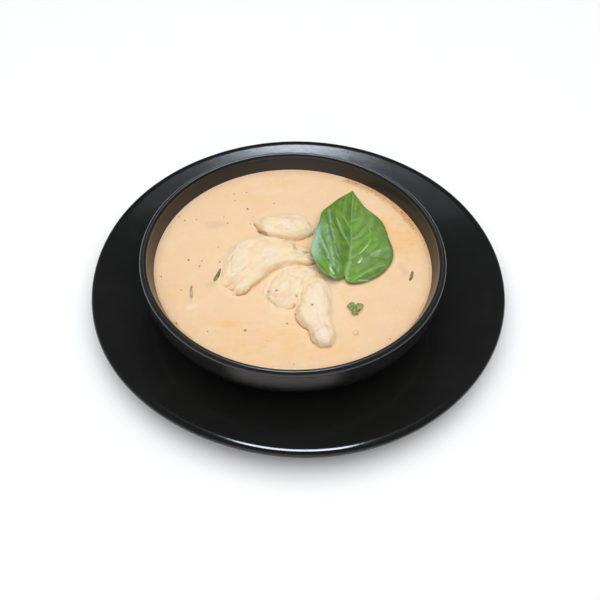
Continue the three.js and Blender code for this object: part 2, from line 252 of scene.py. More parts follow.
class Shade:
    """The node tree of a material or of the surroundings."""

    def __init__(self, owner: Union[str, bpy.types.World]) -> None:
        """Empties the tree of the surroundings, or of a new material with the given name."""
        self.owner = bpy.data.materials.new(owner) if isinstance(owner, str) else owner
        self.owner.use_nodes = True
        self.tree = self.owner.node_tree
        self.tree.nodes.clear()

    def node(
        self,
        kind: str,
        settings: Optional[Dict[str, object]] = None,
        inputs: Optional[Dict[Union[str, int], Input]] = None,
        output: Union[str, int] = 0,
    ) -> Value:
        """Adds any node.

        Args:
            kind: The node's type.
            settings: Its own settings, set first.
            inputs: Values or links for its sockets, by name or number.
            output: The socket that the result reads.

        Returns:
            The value of that output.
        """
        made = self.tree.nodes.new(kind)
        for key, value in (settings or {}).items():
            setattr(made, key, value)
        for key, value in (inputs or {}).items():
            if isinstance(value, Value):
                self.tree.links.new(value.socket, made.inputs[key])
            else:
                made.inputs[key].default_value = value
        return Value(self, made.outputs[output])

    def stored(self, name: str) -> Value:
        """A number stored at the mesh's points, or 0 where none is."""
        return self.node("ShaderNodeAttribute", {"attribute_name": name}, output="Fac")

    def grain(self, grain: Grain) -> Value:
        """Noise over the surface.

        Args:
            grain: The size and the shape of its lumps.

        Returns:
            The noise, or how far each point lies in a patch of it, from 0 to 1.
        """
        placed = self.node(
            "ShaderNodeMapping",
            {"vector_type": "TEXTURE"},
            {
                "Vector": self.node("ShaderNodeTexCoord", output="Object"),
                "Rotation": (0.0, 0.0, math.radians(grain.turn)),
                "Scale": (grain.stretch, 1.0, 1.0),
            },
        )
        cloud = self.node(
            "ShaderNodeTexNoise",
            inputs={"Vector": placed, "Scale": 1 / (grain.size * MM), "Detail": grain.detail},
        )
        return cloud.rise(*grain.edges) if grain.edges else cloud

    def layered(self, base: Input, *coats: Tuple[Input, Input]) -> Value:
        """Lays coats of colour over a base, one after another.

        Args:
            base: The colour under them.
            *coats: The colour of each, and the share of it that shows.

        Returns:
            The colour on top.
        """
        for colour, share in coats:
            base = self.node(
                "ShaderNodeMix", {"data_type": "RGBA"}, {0: share, 6: base, 7: colour}, output=2
            )
        return base

    def bump(self, height: Value, depth: float) -> Value:
        """A normal that follows a height from 0 to 1 that stands for depth millimetres."""
        return self.node("ShaderNodeBump", inputs={"Height": height, "Distance": depth * MM})

    def finish(self, **sockets: Input) -> Material:
        """Closes the material with its surface shader.

        Args:
            **sockets: Values of the shader's sockets, with _ for a blank in their names.

        Returns:
            The material.
        """
        inputs = {key.replace("_", " "): value for key, value in sockets.items()}
        self.end("ShaderNodeOutputMaterial", self.node("ShaderNodeBsdfPrincipled", inputs=inputs))
        return self.owner

    def end(self, kind: str, surface: Value) -> None:
        """Links a surface to the tree's output."""
        self.tree.links.new(surface.socket, self.tree.nodes.new(kind).inputs["Surface"])


# ---- finishes ----


@dataclass(frozen=True)
class BlackGlaze:
    """A near-black glaze with a faint unevenness.

    Attributes:
        name: The material's name.
        roughness: How blurred its reflections are.
        peel: Depth of its fine unevenness, in millimetres.
        gloss: How much of a smoother top coat it has.
        gloss_roughness: How blurred that one's reflections are.
        matt_blur: How much more blurred its rougher places are, where a sheen is painted.
        dull_blur: The same of its dull places, which lack the top coat.
        colour: The glaze. The next two are its thin places and its rough places' painted sheen.
        clouds: Where it is thin. The other grains are its flecks, smears and unevenness.
    """

    name: str
    roughness: float = 0.075
    peel: float = 0.005
    gloss: float = 0.0
    gloss_roughness: float = 0.08
    matt_blur: float = 0.25
    dull_blur: float = 0.15
    colour: Colour = srgb(25, 25, 24)
    bloom: Colour = srgb(32, 32, 31)
    painted_sheen: Colour = srgb(78, 73, 69)
    clouds: Grain = Grain(22, 3, (0.42, 0.72))
    flecks: Grain = Grain(0.9, 1, (0.66, 0.72))
    smears: Grain = Grain(9, 4)
    ripple: Grain = Grain(3.2)
    pits: Grain = Grain(0.7, 1)

    def material(self) -> Material:
        """Builds the glaze.

        Returns:
            The material. It reads the stored numbers matt_and_sheen and dull.
        """
        shade = Shade(self.name)
        matt_and_sheen, dull = shade.stored("matt_and_sheen"), shade.stored("dull")
        flecks = shade.grain(self.flecks)
        thin = shade.grain(self.clouds) * 0.5 + flecks * 0.5
        blur = shade.grain(self.smears) * 0.04 + (self.roughness - 0.02) + flecks * 0.04
        relief = shade.grain(self.ripple) * 0.8 + shade.grain(self.pits) * 0.2
        return shade.finish(
            # The second coat is a painted sheen: greyer glaze on the bowl's front wall, in place of
            # a reflection.
            Base_Color=shade.layered(self.colour, (self.bloom, thin), (self.painted_sheen, matt_and_sheen)),
            Roughness=blur + matt_and_sheen * self.matt_blur + dull * self.dull_blur,
            Normal=shade.bump(relief, self.peel),
            IOR=1.5,
            Coat_Weight=(1 - dull) * self.gloss,
            Coat_Roughness=self.gloss_roughness,
        )


@dataclass(frozen=True)
class CoconutBroth:
    """Opaque pale orange coconut soup with oily, browned and greyish places.

    The colours stand in the order in which they are laid on, and the grains in the order in which
    they are read. The depth of the ripples is in millimetres.
    """

    name: str = "coconut_broth"
    pale: Colour = srgb(238, 206, 168)
    warm: Colour = srgb(236, 198, 150)
    rosy: Colour = srgb(238, 199, 164)
    cream: Colour = srgb(243, 224, 196)
    oil: Colour = srgb(236, 187, 116)
    sunk: Colour = srgb(202, 186, 150)
    browned: Colour = srgb(212, 156, 98)
    flesh: Colour = srgb(245, 222, 184)
    painted_wall_shine: Colour = srgb(232, 206, 196)
    shine: Colour = srgb(253, 236, 228)
    crease_shade: Colour = srgb(134, 84, 52)
    clouds: Grain = Grain(15, 3, (0.38, 0.64))
    mottle: Grain = Grain(2.6, 3, (0.38, 0.66))
    blush: Grain = Grain(8, 3, (0.46, 0.66), 40, 1.5)
    flecks: Grain = Grain(1.7, 2, (0.6, 0.74), 20, 1.6)
    streaks: Grain = Grain(3.4, 4, (0.42, 0.62), 8, 2.2)
    spots: Grain = Grain(1.5, 3, (0.4, 0.6))
    smears: Grain = Grain(5, 3)
    ripples: Grain = Grain(2.2, 3)
    fine: Grain = Grain(0.6, 2)
    depth: float = 0.1

    def material(self) -> Material:
        """Builds the soup.

        Returns:
            The material. It reads the numbers that the soup's surface stores.
        """
        shade = Shade(self.name)
        warmth = shade.grain(self.clouds) * 0.45 + shade.grain(self.mottle) * 0.35
        oily = shade.stored("oil")
        colour = shade.layered(
            self.pale,
            (self.warm, warmth),
            (self.rosy, shade.grain(self.blush) * 0.75),
            (self.cream, shade.grain(self.flecks) * 0.35),
            (self.oil, oily * (shade.grain(self.streaks) * 0.6 + 0.4)),
            (self.sunk, shade.stored("sunk")),
            (self.browned, shade.stored("browned") * (shade.grain(self.spots) * 0.4 + 0.6)),
            (self.flesh, shade.stored("veil")),
            # Pale patches: foam, and painted light that lifts the shadow beside the leaf.
            (self.cream, shade.stored("froth_and_light")),
            # A painted highlight along the wall, where the soup's edge shines.
            (self.painted_wall_shine, shade.stored("shore")),
            (self.shine, shade.stored("gleam")),
            # Painted shade where the soup runs under the top piece of meat.
            (self.crease_shade, shade.stored("crease_shade")),
        )
        relief = shade.grain(self.ripples) * 0.7 + shade.grain(self.fine) * 0.3
        return shade.finish(
            Base_Color=colour,
            Roughness=0.42 + shade.grain(self.smears) * 0.12 - oily * 0.1,
            Normal=shade.bump(relief, self.depth),
            IOR=1.34,
            Specular_IOR_Level=0.35,
        )


@dataclass(frozen=True)
class CookedMeat:
    """Pale simmered chicken, filmed with soup where it leaves it, with painted shade and
    highlights.

    Attributes:
        name: The material's name.
        turn: The bearing of its fibres, in degrees.
        edge_brown_and_shade: How much browning and painted shade its distinct edge has, from 0 to
            1.
        shade_low: How much painted orange shade it has just above that edge, from 0 to 1.
        flesh: The meat. The other colours stand in the order in which they are laid on it.
        yellowing: Where the yellow lies. The other grains are the warm places, the change of its
            blur and its finest unevenness.
        depth: How deep its fibres are, in millimetres.
        light_reach: How far light goes into it, in metres.
    """

    name: str
    turn: float
    edge_brown_and_shade: float
    shade_low: float
    flesh: Colour = srgb(241, 216, 177)
    bright: Colour = srgb(243, 225, 199)
    yellow: Colour = srgb(239, 216, 166)
    warm: Colour = srgb(238, 202, 160)
    broth: Colour = srgb(237, 203, 160)
    low: Colour = srgb(228, 178, 120)
    browned: Colour = srgb(184, 130, 82)
    crease_shade: Colour = srgb(146, 96, 56)
    gleam: Colour = srgb(250, 232, 224)
    yellowing: Grain = Grain(3.8, 2, (0.5, 0.66), 20, 1.6)
    warming: Grain = Grain(6, 3, (0.52, 0.68))
    smears: Grain = Grain(2.4, 3)
    fine: Grain = Grain(0.5, 2)
    depth: float = 0.16
    light_reach: float = 0.0012

    def material(self) -> Material:
        """Builds the meat.

        Returns:
            The material. It reads the numbers that a piece of meat stores.
        """
        shade = Shade(self.name)
        fibres = shade.grain(Grain(0.8, 3, (0.35, 0.68), self.turn, 6))
        lumps = shade.grain(Grain(4.5, 3, (0.38, 0.62), self.turn, 1.8))
        colour = shade.layered(
            self.flesh,
            (self.bright, lumps * 0.6 + fibres * 0.3),
            (self.yellow, shade.grain(self.yellowing) * 0.7),
            (self.warm, shade.grain(self.warming) * 0.6),
            (self.broth, shade.stored("film")),
            # Painted shade: orange above the edge that faces the viewer, brown on that edge, dark
            # in creases.
            (self.low, shade.stored("low") * self.shade_low),
            (self.browned, shade.stored("shore") * self.edge_brown_and_shade),
            (self.crease_shade, shade.stored("crease")),
            # Painted highlights on wet edges, and painted light on the palest patches.
            (self.gleam, shade.stored("gleam")),
        )
        return shade.finish(
            Base_Color=colour,
            Roughness=0.4 + shade.grain(self.smears) * 0.2,
            Normal=shade.bump(fibres * 0.6 + shade.grain(self.fine) * 0.4, self.depth),
            IOR=1.38,
            Subsurface_Weight=0.12,
            Subsurface_Radius=(1.0, 0.55, 0.3),
            Subsurface_Scale=self.light_reach,
        )


@dataclass(frozen=True)
class BasilGreen:
    """The waxy green of a basil leaf, with a painted bluish sheen on the ridges of its left half.

    The colours stand in the order in which they are laid on: the blade, its swellings with painted
    light, its bright places, valleys in painted shade, ridges with painted sheen, veins and margin,
    and its gleams. The depth is in millimetres.
    """

    name: str = "basil_green"
    deep: Colour = srgb(82, 122, 42)
    fresh_and_lit: Colour = srgb(118, 153, 60)
    bright: Colour = srgb(112, 162, 28)
    dark: Colour = srgb(52, 92, 22)
    pale: Colour = srgb(160, 196, 160)
    vein: Colour = srgb(158, 196, 128)
    edge: Colour = srgb(112, 92, 52)
    gleam: Colour = srgb(220, 246, 200)
    patches: Grain = Grain(5, 3, (0.35, 0.68))
    fine: Grain = Grain(0.7, 3)
    depth: float = 0.08

    def material(self) -> Material:
        """Builds the leaf's surface.

        Returns:
            The material. It reads the numbers that the leaf's blade stores.
        """
        shade = Shade(self.name)
        patches, fine = shade.grain(self.patches), shade.grain(self.fine)
        colour = shade.layered(
            self.deep,
            # Painted light on the swellings, painted shade in the valleys, painted sheen on the
            # ridges.
            (self.fresh_and_lit, shade.stored("bulge") * 0.5 + patches * 0.5),
            (self.bright, shade.stored("bright") * (0.5 + patches * 0.5)),
            (self.dark, shade.stored("dark")),
            (self.pale, shade.stored("pale")),
            (self.vein, shade.stored("vein")),
            (self.edge, shade.stored("edge")),
            (self.gleam, shade.stored("gleam")),
        )
        return shade.finish(
            Base_Color=colour,
            Roughness=0.26 + fine * 0.16,
            Normal=shade.bump(fine, self.depth),
            IOR=1.42,
        )


@dataclass(frozen=True)
class Greens:
    """Small bits of herb, stem and spice.

    Attributes:
        name: The material's name.
        dark: The colour of its folds.
        light: The colour of its faces.
        size: How wide its patches are, in millimetres.
        fine: Its fine unevenness.
        depth: How deep that is, in millimetres.
    """

    name: str
    dark: Colour
    light: Colour
    size: float
    fine: Grain = Grain(0.4, 2)
    depth: float = 0.08

    def material(self) -> Material:
        """Builds the surface.

        Returns:
            The material.
        """
        shade = Shade(self.name)
        patches = shade.grain(Grain(self.size, 3, (0.36, 0.64)))
        return shade.finish(
            Base_Color=shade.layered(self.dark, (self.light, patches)),
            Roughness=0.36 + patches * 0.2,
            Normal=shade.bump(shade.grain(self.fine), self.depth),
        )


@dataclass(frozen=True)
class PaleTable:
    """The plain pale table.

    Attributes:
        name: The material's name.
        colour: The table.
        faint: Its slightly darker clouds.
        clouds: Where they lie.
    """

    name: str = "pale_table"
    colour: Colour = srgb(253, 253, 253)
    faint: Colour = srgb(250, 250, 250)
    clouds: Grain = Grain(60, 2)

    def material(self) -> Material:
        """Builds the table's surface.

        Returns:
            The material.
        """
        shade = Shade(self.name)
        clouds = shade.grain(self.clouds)
        return shade.finish(
            Base_Color=shade.layered(self.colour, (self.faint, clouds)),
            Roughness=0.7 + clouds * 0.05,
        )


# ---- meshes ----


def mesh_object(
    name: str,
    points: np.ndarray,
    faces: Iterable[Sequence[int]],
    stored: Optional[Dict[str, np.ndarray]] = None,
) -> Piece:
    """Makes a smooth-shaded mesh object.

    Args:
        name: The object's name.
        points: Its points, in metres.
        faces: The numbers of each face's points.
        stored: Numbers to store at the points, by name.

    Returns:
        The object, in the scene.
    """
    mesh = bpy.data.meshes.new(name)
    mesh.from_pydata(np.asarray(points).tolist(), [], [list(map(int, face)) for face in faces])
    mesh.update()
    store(mesh, stored or {})
    mesh.shade_smooth()
    made = bpy.data.objects.new(name, mesh)
    bpy.context.scene.collection.objects.link(made)
    return made


def store(mesh: bpy.types.Mesh, numbers: Dict[str, np.ndarray]) -> None:
    """Stores numbers at a mesh's points.

    Args:
        mesh: The mesh.
        numbers: One number for each point, by the name that a finish reads.
    """
    for name, values in numbers.items():
        layer = mesh.attributes.new(name, "FLOAT", "POINT")
        layer.data.foreach_set("value", np.asarray(values, dtype=np.float32))


def read_points(mesh: bpy.types.Mesh) -> np.ndarray:
    """Reads a mesh's points.

    Args:
        mesh: The mesh.

    Returns:
        The points, in metres.
    """
    flat = np.empty(len(mesh.vertices) * 3)
    mesh.vertices.foreach_get("co", flat)
    return flat.reshape(-1, 3)


def write_points(mesh: bpy.types.Mesh, points: np.ndarray) -> None:
    """Moves a mesh's points to places in metres."""
    mesh.vertices.foreach_set("co", points.astype(np.float32).ravel())
    mesh.update()


def read_normals(mesh: bpy.types.Mesh) -> np.ndarray:
    """Reads which way a mesh faces at its points.

    Args:
        mesh: The mesh.

    Returns:
        The normals.
    """
    flat = np.empty(len(mesh.vertices) * 3, dtype=np.float32)
    mesh.vertex_normals.foreach_get("vector", flat)
    return flat.reshape(-1, 3).astype(float)


def tree_of(made: Piece) -> BVHTree:
    """Builds a search tree of an object's faces.

    Args:
        made: The object.

    Returns:
        The tree.
    """
    mesh = made.data
    return BVHTree.FromPolygons(
        [vertex.co for vertex in mesh.vertices], [list(face.vertices) for face in mesh.polygons]
    )


def welded(made: Piece, reach: float) -> None:
    """Joins a mesh's points that lie together and turns its faces outwards.

    Args:
        made: The object.
        reach: How close points are when they lie together, in metres.
    """
    work = bmesh.new()
    work.from_mesh(made.data)
    bmesh.ops.remove_doubles(work, verts=work.verts, dist=reach)
    bmesh.ops.dissolve_degenerate(work, edges=work.edges, dist=reach / 10)
    bmesh.ops.recalc_face_normals(work, faces=work.faces)
    work.to_mesh(made.data)
    work.free()
    made.data.shade_smooth()


def dressed(made: Piece, material: Material, replaced: Sequence[str] = ()) -> Piece:
    """Gives a piece what the frame wants to know of it.

    Args:
        made: The piece.
        material: Its material.
        replaced: The solids that it stands for.

    Returns:
        The piece.
    """
    made.data.materials.clear()
    made.data.materials.append(material)
    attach(made, BODY)
    if replaced:
        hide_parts(*replaced)
    return made


def ring_faces(rings: int, sectors: int) -> np.ndarray:
    """Quads between closed rings of points that are numbered ring by ring.

    Args:
        rings: How many rings there are.
        sectors: How many points a ring has.

    Returns:
        The quads' point numbers.
    """
    ring, sector = np.meshgrid(np.arange(rings - 1), np.arange(sectors), indexing="ij")
    here = (ring * sectors + sector).ravel()
    beside = (ring * sectors + (sector + 1) % sectors).ravel()
    return np.stack([here, beside, beside + sectors, here + sectors], axis=1)


def closed_faces(rings: int, sectors: int, poles: Tuple[int, int]) -> List[List[int]]:
    """Faces of a skin of rings that closes on a point at each end.

    Args:
        rings: How many rings there are.
        sectors: How many points a ring has.
        poles: The numbers of the points before the first ring and after the last.

    Returns:
        The faces. They look outwards where the rings run anticlockwise and climb.
    """
    faces = ring_faces(rings, sectors).tolist()
    last = (rings - 1) * sectors
    for sector in range(sectors):
        beside = (sector + 1) % sectors
        faces.append([poles[0], beside, sector])
        faces.append([poles[1], last + sector, last + beside])
    return faces


def flipped(faces: Iterable[Sequence[int]]) -> List[List[int]]:
    """The same faces, looking the other way."""
    return [list(face)[::-1] for face in faces]


def bend(start: Pair, start_handle: Pair, end_handle: Pair, end: Pair, steps: int = 24) -> Profile:
    """Points of a cubic curve.

    Args:
        start: Where it starts.
        start_handle: What it makes for there.
        end_handle: Where it comes from at its end.
        end: Where it ends.
        steps: How many points it has.

    Returns:
        The points.
    """
    share = np.linspace(0, 1, steps)[:, None]
    rest = 1 - share
    curve = (
        rest**3 * np.array(start)
        + 3 * rest**2 * share * np.array(start_handle)
        + 3 * rest * share**2 * np.array(end_handle)
        + share**3 * np.array(end)
    )
    return [tuple(point) for point in curve]


def round_edge(centre: Pair, radius: float, start: float, end: float, steps: int = 18) -> Profile:
    """Points of a round edge about a centre, by bearings in degrees."""
    angles = np.radians(np.linspace(start, end, steps))
    return [(centre[0] + radius * math.cos(a), centre[1] + radius * math.sin(a)) for a in angles]


def foot_ring(radius: float, width: float, height: float) -> Profile:
    """The section of a foot ring.

    Args:
        radius: To the middle of the ring.
        width: How wide it stands.
        height: How high it is.

    Returns:
        Its four corners, from the inside out.
    """
    slope = 0.8
    inner, outer = radius - width / 2, radius + width / 2
    return [(inner - slope, height), (inner, 0.0), (outer, 0.0), (outer + slope, height)]


def softened(profile: Profile, step: float = 0.9, rounds: int = 2) -> np.ndarray:
    """Rounds off a profile's corners a little, as a glaze does.

    Args:
        profile: Radius and height of each corner, in millimetres.
        step: The longest stretch left between two points.
        rounds: How often the corners are cut.

    Returns:
        The finer profile, with its two ends where they were.
    """
    cut, closest = 0.25, 1e-6
    fine = [np.array(profile[0], dtype=float)]
    for corner in profile[1:]:
        start, end = fine[-1], np.array(corner, dtype=float)
        parts = max(1, math.ceil(np.linalg.norm(end - start) / step))
        fine += [start + (end - start) * part / parts for part in range(1, parts + 1)]
    points = np.array(fine)
    for _ in range(rounds):
        near = points[:-1] * (1 - cut) + points[1:] * cut
        far = points[:-1] * cut + points[1:] * (1 - cut)
        middle = np.stack([near, far], axis=1).reshape(-1, 2)
        points = np.vstack([points[:1], middle, points[-1:]])
    apart = np.r_[True, np.linalg.norm(np.diff(points, axis=0), axis=1) > closest]
    return points[apart]


def turned(
    name: str, profile: np.ndarray, sectors: int, placed: Callable[[np.ndarray], np.ndarray]
) -> Piece:
    """Turns a profile that starts and ends on the axis about it.

    Args:
        name: The object's name.
        profile: Radius and height of its points, in millimetres.
        sectors: How many points a ring has.
        placed: Takes the points to their places in the frame, in millimetres.

    Returns:
        The closed round object.
    """
    angles = np.linspace(0, 2 * np.pi, sectors, endpoint=False)
    inner = profile[1:-1]
    rings = np.stack(
        [
            inner[:, None, 0] * np.cos(angles),
            inner[:, None, 0] * np.sin(angles),
            np.repeat(inner[:, None, 1], sectors, axis=1),
        ],
        axis=2,
    ).reshape(-1, 3)
    points = np.vstack([rings, [[0, 0, profile[0, 1]], [0, 0, profile[-1, 1]]]])
    faces = closed_faces(len(inner), sectors, (len(rings), len(rings) + 1))
    return mesh_object(name, placed(points) * MM, faces)


# ---- the dishes ----


@dataclass
class Plate:
    """The wide black plate under the bowl, in millimetres.

    Attributes:
        radius: To the outside of its lip.
        height: To the top of its lip.
        floor_z: Height of its flat middle.
        floor_radius: How far the flat middle reaches.
        edge_radius: Of its rounded edge.
        crest: Radius of curvature of the crest beside the edge, and the slope in degrees of the
            flange that leads to it.
        flange: What the flange makes for on its way in, and where it comes from at the middle.
        underside: The curve of its underside, from the foot ring to the edge.
        foot: Radius, width and height of its foot ring.
        waves: Count, height and crest's bearing of each wave in its edge.
        waved_from: How fast the waves die out inwards: a power of the radius.
        sectors: Points round the turn.
        finish: Its glaze.
    """

    radius: float = 115.0
    height: float = 14.2
    floor_z: float = 6.8
    floor_radius: float = 60.0
    edge_radius: float = 2.0
    crest: Pair = (12.0, 12.0)
    flange: Tuple[Pair, Pair] = ((95, 10.6), (76, 6.9))
    underside: Tuple[Pair, Pair, Pair, Pair] = ((80, 4.2), (94, 5.6), (104, 7.6), (112.4, 10.2))
    foot: Point = (57.0, 5.0, 2.6)
    waves: Tuple[Point, ...] = (
        (2, 0.28, 52), (3, 0.15, 66), (4, 0.17, 26), (5, 0.13, -1), (6, 0.11, -22),
    )
    waved_from: int = 4
    sectors: int = 288
    finish: BlackGlaze = BlackGlaze("plate_glaze")

    def profile(self) -> np.ndarray:
        """Draws its outline.

        Returns:
            Radius and height of its points, from the axis below to the axis above.
        """
        top = self.radius - self.edge_radius
        bow, slope = self.crest
        crest = round_edge((top, self.height - bow), bow, 90, 90 + slope, 8)
        return softened(
            [
                (0, self.foot[2]),
                *foot_ring(*self.foot),
                *bend(*self.underside),
                *round_edge((top, self.height - self.edge_radius), self.edge_radius, -40, 90),
                *crest[1:-1],
                *bend(crest[-1], *self.flange, (self.floor_radius, self.floor_z), 60),
                (0, self.floor_z),
            ]
        )

    def waved(self, points: np.ndarray) -> np.ndarray:
        """Moves points in and out by the edge's waves, most at the lip.

        Args:
            points: The points.

        Returns:
            The moved points.
        """
        bearing = np.arctan2(points[:, 1], points[:, 0])
        swell = np.zeros(len(points))
        for count, height, crest in self.waves:
            swell += height * np.cos(count * (bearing - math.radians(crest)))
        reach = np.hypot(points[:, 0], points[:, 1]) / self.radius
        stretch = 1 + swell * reach**self.waved_from / self.radius
        return points * np.stack([stretch, stretch, np.ones(len(points))], axis=1)

    def build(self) -> Piece:
        """Builds and dresses the plate."""
        made = turned("black_plate", self.profile(), self.sectors, self.waved)
        return dressed(made, self.finish.material(), ["plate"])


@dataclass
class Bowl:
    """The black bowl, in millimetres above its own foot.

    Attributes:
        rim_radius: To the outside of its rim.
        rim_thickness: Of its rounded rim.
        height: To the top of its rim.
        straight_wall: How far below the rim the wall stays upright.
        floor_z: Height of its inside floor.
        floor_radius: How far that floor reaches.
        outside_handles: What shapes its outer wall from the foot up.
        inside_handles: What shapes its inner wall from the rim down.
        foot: Radius, width and height of its foot ring.
        matt_sheen_bearing: Where round the wall its rough patch of painted sheen is, in degrees.
        matt_sheen_turn: How far from there the patch ends and is full, in degrees.
        matt_sheen_heights: Between which heights the patch grows full.
        dullness: How dull its inner wall is, from 0 to 1.
        sectors: Points round the turn.
        finish: Its glaze.
    """

    rim_radius: float = 79.4
    rim_thickness: float = 3.8
    height: float = 34.8
    straight_wall: float = 9.0
    floor_z: float = 5.0
    floor_radius: float = 44.0
    outside_handles: Tuple[Pair, Pair] = ((66, 4), (78.8, 12))
    inside_handles: Tuple[Pair, Pair] = ((70.6, 18.9), (69.6, 5.6))
    foot: Point = (44.0, 4.2, 2.0)
    matt_sheen_bearing: float = -91.5
    matt_sheen_turn: Pair = (23.0, 13.0)
    matt_sheen_heights: Pair = (20.0, 30.0)
    dullness: float = 0.4
    sectors: int = 288
    finish: BlackGlaze = BlackGlaze("bowl_glaze", 0.3, 0.02, 0.5, 0.12)

    def inside(self) -> Profile:
        """Its inner wall from the rim down to the floor's edge."""
        top = (self.rim_radius - self.rim_thickness, self.height - self.rim_thickness / 2)
        return bend(top, *self.inside_handles, (self.floor_radius, self.floor_z), 40)

    def wall_radius(self, z: float) -> float:
        """The inner wall's radius at a height above the bowl's foot."""
        wall = np.array(self.inside())[::-1]
        return float(np.interp(z, wall[:, 1], wall[:, 0]))

    def build(self) -> Piece:
        """Builds and dresses the bowl.

        Returns:
            The bowl, in its place.
        """
        half = self.rim_thickness / 2
        rim = (self.rim_radius - half, self.height - half)
        foot_radius, _, foot_height = self.foot
        wall_foot = (foot_radius + 6, foot_height + 0.5)
        wall_top = (self.rim_radius - 0.1, rim[1] - self.straight_wall)
        profile = softened(
            [
                (0, foot_height),
                *foot_ring(*self.foot),
                *bend(wall_foot, *self.outside_handles, wall_top),
                *round_edge(rim, half, 0, 180),
                *self.inside()[1:],
                (0, self.floor_z),
            ]
        )
        made = turned("black_bowl", profile, self.sectors, self.placed)
        store(made.data, self.matt_sheen_and_dull(read_points(made.data) / MM - BOWL_PLACE))
        return dressed(made, self.finish.material(), ["bowl"])

    def matt_sheen_and_dull(self, points: np.ndarray) -> Dict[str, np.ndarray]:
        """Where the glaze is rougher with a painted sheen, and where it is dull.

        Args:
            points: Points of the bowl, from its foot.

        Returns:
            How much painted sheen and rougher glaze each point has, most on the wall's front just
            under the rim, and how dull it is, on the inner wall.
        """
        x, y, height = points.T
        reach = self.rim_radius - np.hypot(x, y)
        below_rim = self.height - height
        turn = np.abs(np.degrees(np.arctan2(y, x)) - self.matt_sheen_bearing)
        front = smoothstep(turn, *self.matt_sheen_turn) * smoothstep(height, *self.matt_sheen_heights)
        return {
            # Painted sheen: the front wall just under the rim is greyed, and made rougher, for its
            # reflection.
            "matt_and_sheen": front * smoothstep(reach, 4.5, 2) * smoothstep(below_rim, 1, 3),
            "dull": self.dullness * smoothstep(reach, 2.6, 4) * smoothstep(below_rim, 1.2, 2.6),
        }

    def placed(self, points: np.ndarray) -> np.ndarray:
        """Stands the bowl on the plate, off its middle and a little out of round."""
        return points * BOWL_STRETCH + BOWL_PLACE


# ---- the meat ----


def spline(rows: np.ndarray, at: np.ndarray) -> np.ndarray:
    """Catmull-Rom values between evenly spaced rows.

    Args:
        rows: The values at the knots.
        at: Where to read, from 0 at the first row to 1 at the last.

    Returns:
        One row of values for each place.
    """
    spans = len(rows) - 1
    place = np.clip(at * spans, 0, spans - 1e-9)
    span = place.astype(int)
    share = (place - span)[:, None]
    padded = np.vstack([2 * rows[0] - rows[1], rows, 2 * rows[-1] - rows[-2]])
    before, start, end, after = (padded[span + shift] for shift in range(4))
    return 0.5 * (
        2 * start
        + (end - before) * share
        + (2 * before - 5 * start + 4 * end - after) * share**2
        + (3 * start - before - 3 * end + after) * share**3
    )


def lobe(rows: Sequence[Row]) -> Tuple[np.ndarray, np.ndarray]:
    """A long closed lump with rounded ends and faint flutes.

    Args:
        rows: Along its middle line: x, y, z above the soup, half width and half height.

    Returns:
        Its points in millimetres and its faces.
    """
    steps, sides, end_round, nudge = 56, 44, 0.3, 0.01
    flutes, flute_depth, flute_twist = 5, 0.035, 3
    rows = np.array(rows, dtype=float)
    along = (1 - np.cos(np.linspace(0, np.pi, steps))) / 2
    line = spline(rows, along)
    ahead = spline(rows, np.clip(along + nudge, 0, 1))
    tangent = (ahead - spline(rows, np.clip(along - nudge, 0, 1)))[:, :3]
    tangent /= np.linalg.norm(tangent, axis=1, keepdims=True)
    sideways = np.cross((0, 0, 1), tangent)
    sideways /= np.linalg.norm(sideways, axis=1, keepdims=True)
    over = np.cross(tangent, sideways)
    from_end = np.minimum(along, 1 - along) / end_round
    fullness = np.sqrt(np.clip(1 - (1 - np.clip(from_end, 0, 1)) ** 2, 0, 1))
    angle = np.linspace(0, 2 * np.pi, sides, endpoint=False)
    flute = 1 + flute_depth * np.cos(flutes * angle[None, :] + flute_twist * along[:, None])
    wide = line[:, 3:4] * flute * fullness[:, None] * np.cos(angle)
    high = line[:, 4:5] * flute * fullness[:, None] * np.sin(angle)
    points = line[:, None, :3] + wide[..., None] * sideways[:, None]
    points = points + high[..., None] * over[:, None]
    return points.reshape(-1, 3), ring_faces(steps, sides)


def remeshed(made: Piece, voxel: float) -> Piece:
    """Joins a piece's overlapping lobes into one skin of even faces.

    Args:
        made: The piece.
        voxel: The size of a face, in millimetres.

    Returns:
        The same object with its new mesh.
    """
    modifier = made.modifiers.new("skin", "REMESH")
    modifier.mode = "VOXEL"
    modifier.voxel_size = voxel * MM
    modifier.use_smooth_shade = True
    graph = bpy.context.evaluated_depsgraph_get()
    skin = bpy.data.meshes.new_from_object(made.evaluated_get(graph))
    made.modifiers.clear()
    old = made.data
    made.data = skin
    bpy.data.meshes.remove(old)
    skin.name = made.name
    return made


def relaxed(points: np.ndarray, mesh: bpy.types.Mesh, rounds: int) -> np.ndarray:
    """Evens out a mesh's points by drawing each one halfway towards its neighbours.

    Args:
        points: The points.
        mesh: The mesh that they belong to.
        rounds: How often it is done.

    Returns:
        The moved points.
    """
    ends = np.empty(len(mesh.edges) * 2, dtype=np.int64)
    mesh.edges.foreach_get("vertices", ends)
    first, second = ends.reshape(-1, 2).T
    count = np.bincount(ends, minlength=len(points))[:, None]
    for _ in range(rounds):
        total = np.zeros_like(points)
        np.add.at(total, first, points[second])
        np.add.at(total, second, points[first])
        points = points * 0.5 + total / count * 0.5
    return points


def pushed_out(points: np.ndarray, other: Piece, gap: float) -> np.ndarray:
    """Moves the points that lie in another piece out to just off its skin.

    Args:
        points: The points, in metres.
        other: The piece that they keep clear of.
        gap: How far off, in metres.

    Returns:
        The moved points.
    """
    reach = 0.02
    tree = tree_of(other)
    moved = points.copy()
    for index, point in enumerate(points):
        nearest, normal, _, _ = tree.find_nearest(Vector(point), reach)
        if nearest is None:
            continue
        depth = (Vector(point) - nearest).dot(normal)
        if depth < gap:
            moved[index] = nearest + normal * gap
    return moved


